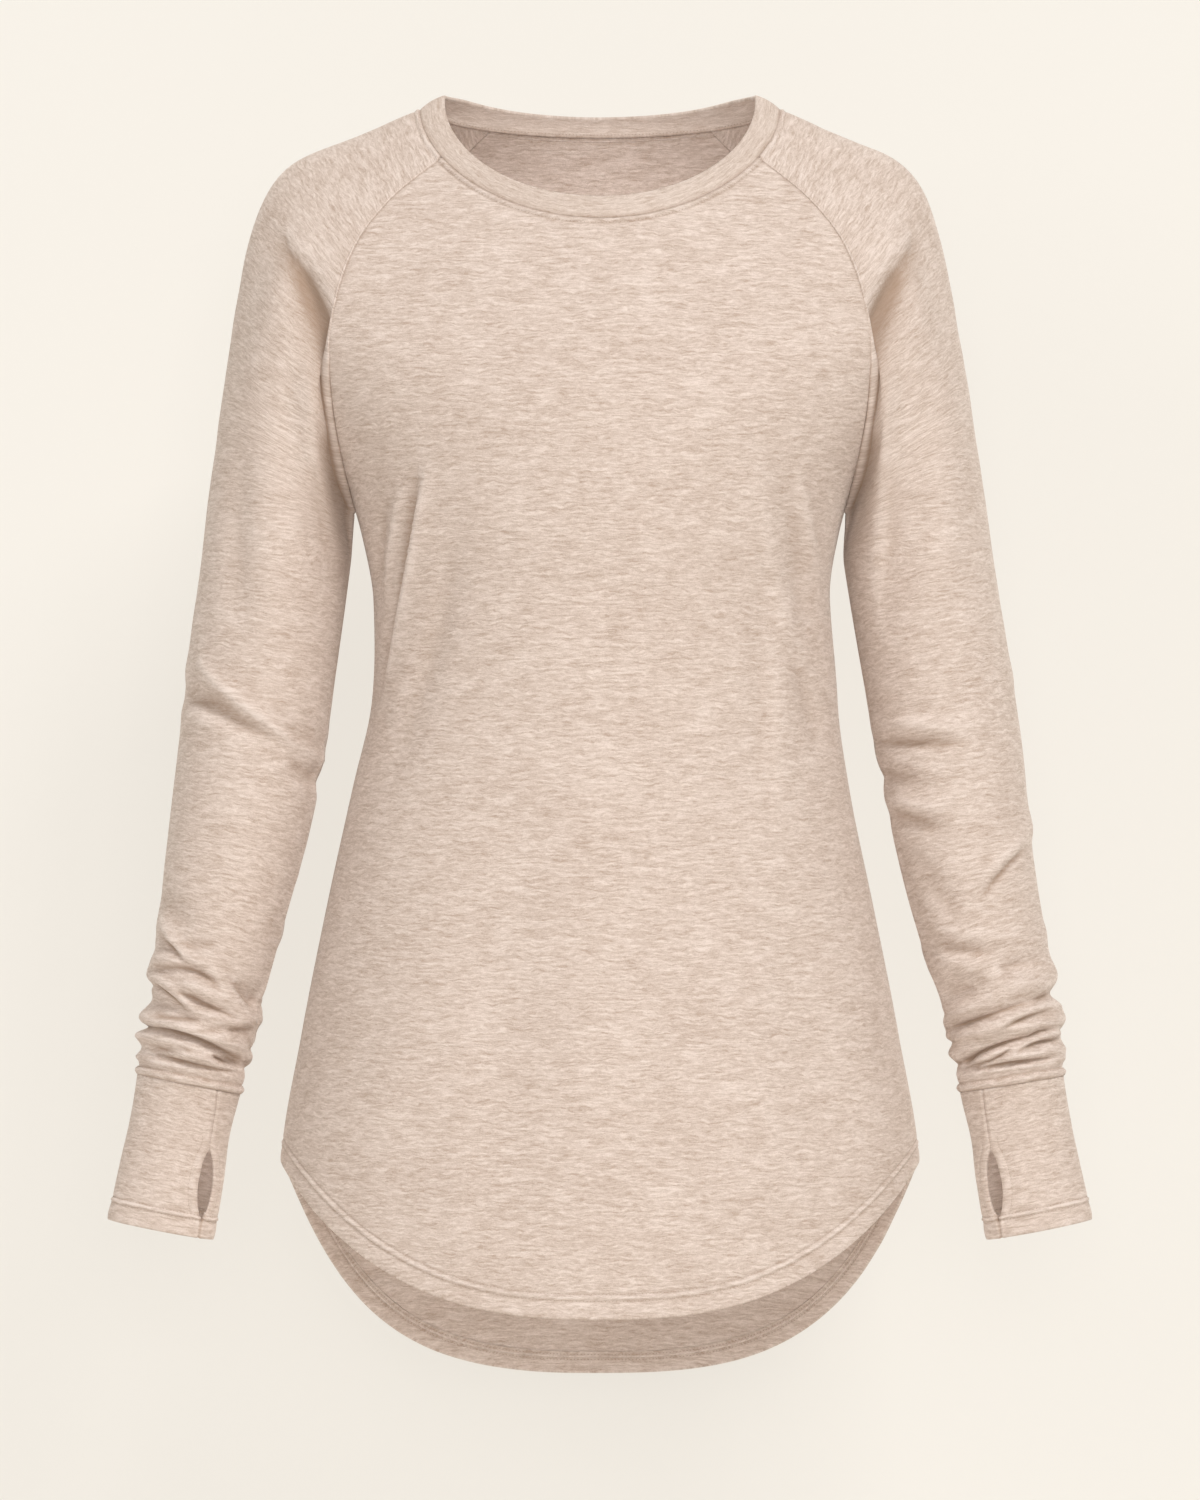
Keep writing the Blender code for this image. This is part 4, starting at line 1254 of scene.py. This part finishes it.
def new_finish(name, values):
    """A new material, the maker of its nodes, and its surface with some inputs set.

    The maker adds a node of a type, sets its inputs, and gives one of its outputs.
    """
    material = bpy.data.materials.new(name)
    material.use_nodes = True
    tree = material.node_tree
    surface = tree.nodes["Principled BSDF"]
    for key, value in values.items():
        surface.inputs[key].default_value = value

    def make(kind, output=0, settings=(), **inputs):
        node = tree.nodes.new(kind)
        for key, value in settings:
            setattr(node, key, value)
        for key, value in inputs.items():
            number = key[1:]
            socket = node.inputs[int(number) if number.isdigit() else key.replace("_", " ")]
            if isinstance(value, bpy.types.NodeSocket):
                tree.links.new(value, socket)
            else:
                socket.default_value = value
        return node.outputs[output]

    return material, make, surface


def scaled(make, place, sizes):
    """A place in the knit, measured in lumps of the given sizes."""
    scale = tuple(1 / size for size in sizes)
    return make("ShaderNodeVectorMath", settings=[("operation", "MULTIPLY")], i0=place, i1=scale)


def lumps(make, place, sizes, output=0, **noise_inputs):
    """Soft noise whose lumps have the given sizes along, through and across the knit."""
    vector = scaled(make, place, sizes)
    return make("ShaderNodeTexNoise", output, Vector=vector, Scale=1.0, **noise_inputs)


def ranged(make, value, low, high, start, end):
    """A value from low to high, taken to one from start to end."""
    ends = dict(From_Min=low, From_Max=high, To_Min=start, To_Max=end)
    return make("ShaderNodeMapRange", Value=value, **ends)


def summed(make, first, second, operation="ADD"):
    """The sum of two values, or their product."""
    return make("ShaderNodeMath", settings=[("operation", operation)], i0=first, i1=second)


def tinted(make, factor, dark, light):
    """A colour between two, by a factor."""
    settings = [("data_type", "RGBA"), ("clamp_factor", True)]
    return make("ShaderNodeMix", 2, settings, i0=factor, i6=(*dark, 1), i7=(*light, 1))


def brushed_knit(name, light, dark, courses=1.0, depth=1.0):
    """Brushed oatmeal knit: heathered courses that wander across the piece, a short nap, and the
    painted shade and painted light of each point.
    """
    material, make, surface = new_finish(name, KNIT_SURFACE)
    place = make("ShaderNodeAttribute", 1, [("attribute_name", "knit")])
    # The courses wander by a millimetre or two, so they aren't ruled lines.
    wander = lumps(make, place, (13, 13, 6), 1, Detail=2.0)
    multiply_add = [("operation", "MULTIPLY_ADD")]
    shift = make("ShaderNodeVectorMath", settings=multiply_add, i0=wander, i1=(3, 3, 5), i2=place)
    streak = dict(Roughness=0.6, Distortion=0.3)
    long_streaks = lumps(make, shift, (13, 13, 1.6 * courses), Detail=2.0, **streak)
    short_streaks = lumps(make, shift, (4.2, 4.2, 0.9 * courses), Detail=1.5, **streak)
    mottle = lumps(make, place, (46, 46, 30), Detail=2.0)
    nap = lumps(make, place, (0.9, 0.9, 0.55), Detail=2.0, Roughness=0.6)
    streaks = ranged(make, long_streaks, 0.3, 0.7, -0.7, 0.7)
    streaks = summed(make, streaks, ranged(make, short_streaks, 0.3, 0.7, -0.5, 0.5))
    tone = summed(make, streaks, ranged(make, mottle, 0.3, 0.7, -0.13, 0.13))
    tone = summed(make, tone, ranged(make, nap, 0.3, 0.7, -0.42, 0.42))
    factor = ranged(make, tone, -1.0, 1.0, 0.0, 1.0)
    # Painted light brightens the knit a little on a ridge, and painted shade darkens it at the
    # bottom of a crease.
    crease = make("ShaderNodeAttribute", 2, [("attribute_name", "crease")])
    factor = summed(make, factor, ranged(make, crease, -1.0, 0.0, 0.3, 0.0))
    colour = tinted(make, factor, dark, light)
    # Painted shade: the colour is mixed towards SHADE where the painted shading is above 0.
    painted_shade_amount = ranged(make, crease, 0.08, 1.6, 0.0, 0.8)
    rgba = [("data_type", "RGBA")]
    colour = make("ShaderNodeMix", 2, rgba, i0=painted_shade_amount, i6=colour, i7=(*SHADE, 1))
    height = summed(make, streaks, 0.5, "MULTIPLY")
    height = summed(make, height, ranged(make, nap, 0.3, 0.7, -0.3, 0.3))
    relief = make("ShaderNodeBump", Strength=0.3 * depth, Distance=0.0008, Height=height)
    links = material.node_tree.links
    links.new(colour, surface.inputs["Base Color"])
    links.new(relief, surface.inputs["Normal"])
    return material


def sewing_thread():
    """Matt thread, a shade darker than the knit."""
    material, make, surface = new_finish("sewing_thread", THREAD_SURFACE)
    place = make("ShaderNodeTexCoord", 3)
    twist = make("ShaderNodeTexNoise", Vector=place, Scale=900.0, Detail=2.0)
    colour = tinted(make, twist, THREAD_DARK, THREAD_LIGHT)
    material.node_tree.links.new(colour, surface.inputs["Base Color"])
    return material


def plain_finish(name, colour, one_sided=False, glow=0.0):
    """A plain matt finish for the floor and the backdrop, lit from within by its glow."""
    values = {
        "Base Color": (*colour, 1),
        "Roughness": 0.9,
        "Specular IOR Level": 0.0,
        "Emission Color": (0.92, 0.88, 0.81, 1),
        "Emission Strength": glow,
    }
    material, make, surface = new_finish(name, values)
    if one_sided:
        # Only its front shows, so that it never hides the garment from behind.
        behind = make("ShaderNodeNewGeometry", 6)
        clear = make("ShaderNodeBsdfTransparent")
        mixed = make("ShaderNodeMixShader", i0=behind, i1=surface.outputs[0], i2=clear)
        tree = material.node_tree
        tree.links.new(mixed, tree.nodes["Material Output"].inputs["Surface"])
    return material


# ---- The studio

FLOOR_HEIGHT = -1.25
BACKDROP_Y = 0.30
CAMERA_DISTANCE = 4.0
CAMERA_HEIGHT = -0.41665
CAMERA_LENS = 147.69
WARM = (1.0, 0.985, 0.96)
SKY = (0.93, 0.895, 0.84, 1)
SKY_STRENGTH = 0.325

# The lights that face the middle of the garment: name, place, size and power.
MIDDLE = Vector((0, 0, -0.42))
AREA_LIGHTS = (
    ("key", (2.4, -4.0, 4.4), 2.0, 262),
    ("fill", (-3.6, -4.0, 1.2), 2.6, 58),
    ("front", (0.2, -5.4, 0.3), 1.6, 82),
    ("behind", (0.6, 3.0, 1.5), 2.6, 30),
)
# Small lights in the hollow, as a studio puts card in it to brighten the inside.
INSIDE_LIGHTS = (
    ("inside_neck", (0, -0.02, -0.20), 0.30),
    ("inside_hem", (0, -0.02, -0.68), 0.22),
    ("inside_cuff_left", (0.272, -0.012, -0.665), 0.013),
    ("inside_cuff_right", (-0.272, -0.012, -0.665), 0.013),
)
INSIDE_SIZE = 0.012


def plane(name, size, material, turn, shift):
    """A flat piece of the studio, turned about X and moved, with its object left at the origin."""
    bpy.ops.object.select_all(action="DESELECT")
    bpy.ops.mesh.primitive_plane_add(size=1)
    item = bpy.context.object
    item.name = name
    bpy.ops.object.mode_set(mode="EDIT")
    bpy.ops.mesh.select_all(action="SELECT")
    bpy.ops.transform.resize(value=(*size, 1))
    bpy.ops.object.mode_set(mode="OBJECT")
    item.data.materials.append(material)
    item.rotation_euler = (turn, 0, 0)
    item.location = shift
    bpy.ops.object.transform_apply(location=True, rotation=True, scale=True)
    item.select_set(False)
    return item


def add_light(name, kind, place, power):
    """A warm light, and its settings."""
    light = bpy.data.lights.new(name, kind)
    light.energy = power
    light.color = WARM
    return placed(name, light, place), light


def add_lights():
    """The lights that face the garment, and the small ones inside it."""
    for name, place, size, power in AREA_LIGHTS:
        item, light = add_light(name, "AREA", place, power)
        light.size = size
        item.rotation_euler = (MIDDLE - item.location).to_track_quat("-Z", "Y").to_euler()
    for name, place, power in INSIDE_LIGHTS:
        item, light = add_light(name, "POINT", place, power)
        light.shadow_soft_size = INSIDE_SIZE
        item.visible_camera = False


def set_studio():
    """Floor, backdrop, lights, sky and camera."""
    floor_finish = plain_finish("studio_floor", (0.88, 0.85, 0.8))
    floor = plane("floor", (6, 6), floor_finish, 0, (0, 0, FLOOR_HEIGHT))
    wall_finish = plain_finish("studio_backdrop", (0.23, 0.22, 0.205), True, 0.72)
    wall_place = (0, BACKDROP_Y, FLOOR_HEIGHT + 3)
    wall = plane("backdrop", (8, 6), wall_finish, np.pi / 2, wall_place)
    add_lights()

    world = bpy.data.worlds.new("studio")
    world.use_nodes = True
    sky = world.node_tree.nodes["Background"]
    sky.inputs["Color"].default_value = SKY
    sky.inputs["Strength"].default_value = SKY_STRENGTH
    bpy.context.scene.world = world

    camera = bpy.data.cameras.new("camera")
    camera.lens = CAMERA_LENS
    camera.sensor_width = 36
    camera.sensor_fit = "AUTO"
    camera.clip_end = 50
    place = (0, -CAMERA_DISTANCE, CAMERA_HEIGHT)
    bpy.context.scene.camera = placed("camera", camera, place, (np.pi / 2, 0, 0))
    bpy.context.scene.view_settings.view_transform = "Standard"


# ---- The garment

PANELS = (("front_panel", (0.53, 0.72), 0.30), ("back_panel", (0.54, 0.83), 0.326))


def hem_stitches(name, net, normals, hem, inner=None):
    """The two rows of stitches that hold a hem, outside and, where it shows, inside."""
    runs = []
    for distance in HEM_ROWS[name]:
        runs.append(stitch_row(net, normals, hem, distance))
        if inner is not None:
            runs.append(stitch_row(inner, -normals, hem, distance, 0))
    return runs


def neckline_stitches(net, normals, down, columns):
    """The row of stitches that holds the neckline's seam allowance down."""
    return stitch_row(net[:, columns], normals[:, columns], down[:, columns], NECK_ROW)


def thumbhole_stitches(net, normals, edge):
    """The rows of stitches on both sides of a thumbhole."""
    heights = net[:, 0, 2]
    rows = (heights > HOLE_ROW_ENDS[0]) & (heights < HOLE_ROW_ENDS[1])
    runs = []
    for columns in (slice(None, CUFF_COLUMNS // 2), slice(CUFF_COLUMNS // 2, None)):
        half = (np.swapaxes(part[rows, columns], 0, 1) for part in (net, normals, edge))
        runs.append(stitch_row(*half, HOLE_ROW))
    return runs


def dress(piece, node, with_pieces):
    """Attaches a piece and the pieces that go with it to the root, and hides its CAD part."""
    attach(piece, "root")
    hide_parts(node)
    for extra in with_pieces:
        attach(extra, "root")


def make_garment():
    """Every piece of the garment with its stitches."""
    knit = brushed_knit("brushed_knit", KNIT_LIGHT, KNIT_DARK)
    band_knit = brushed_knit("rib_knit", BAND_LIGHT, BAND_DARK, courses=0.75, depth=0.6)
    thread = sewing_thread()

    for name, flat, area in PANELS:
        piece, net, normals, hem, inner = make_panel(name, knit)
        runs = hem_stitches(name, net, normals, hem, inner)
        down = edge_distances(net)[1]
        runs.append(neckline_stitches(net, normals, down, slice(3, -3)))
        stitches = add_stitches(name + "_stitches", runs, thread)
        dress(piece, name, [stitches])

    shoulder = slice(YOKE_ROWS + 10, YOKE_ROWS + 6 + SHOULDER_COLUMNS)
    for side in ("left", "right"):
        mirrored = side == "right"
        piece, net, normals = make_sleeve(side, knit)
        down, up, _ = edge_distances(net)
        runs = [neckline_stitches(net, normals, down, shoulder)]
        runs.append(stitch_row(net, normals, up, SLEEVE_END_ROW))
        stitches = add_stitches(f"sleeve_{side}_stitches", runs, thread, mirrored)
        flat, node = (0.42, 0.68), "sleeve_" + side
        dress(piece, node, [stitches])

        piece, net, normals, hem, edge = make_cuff(side, knit)
        runs = hem_stitches("cuff", net, normals, hem) + thumbhole_stitches(net, normals, edge)
        stitches = add_stitches(f"cuff_{side}_stitches", runs, thread, mirrored)
        flat, node = (0.212, 0.097), "cuff_" + side
        dress(piece, node, [stitches])

    piece, net, normals, up = make_neckband(band_knit)
    inner = net[..., :3] - normals * BAND_WALL
    runs = [stitch_row(inner, -normals, up, INNER_BAND_ROW, 0)]
    stitches = add_stitches("neckband_stitches", runs, thread)
    dress(piece, "neckband", [stitches])


set_studio()
make_garment()
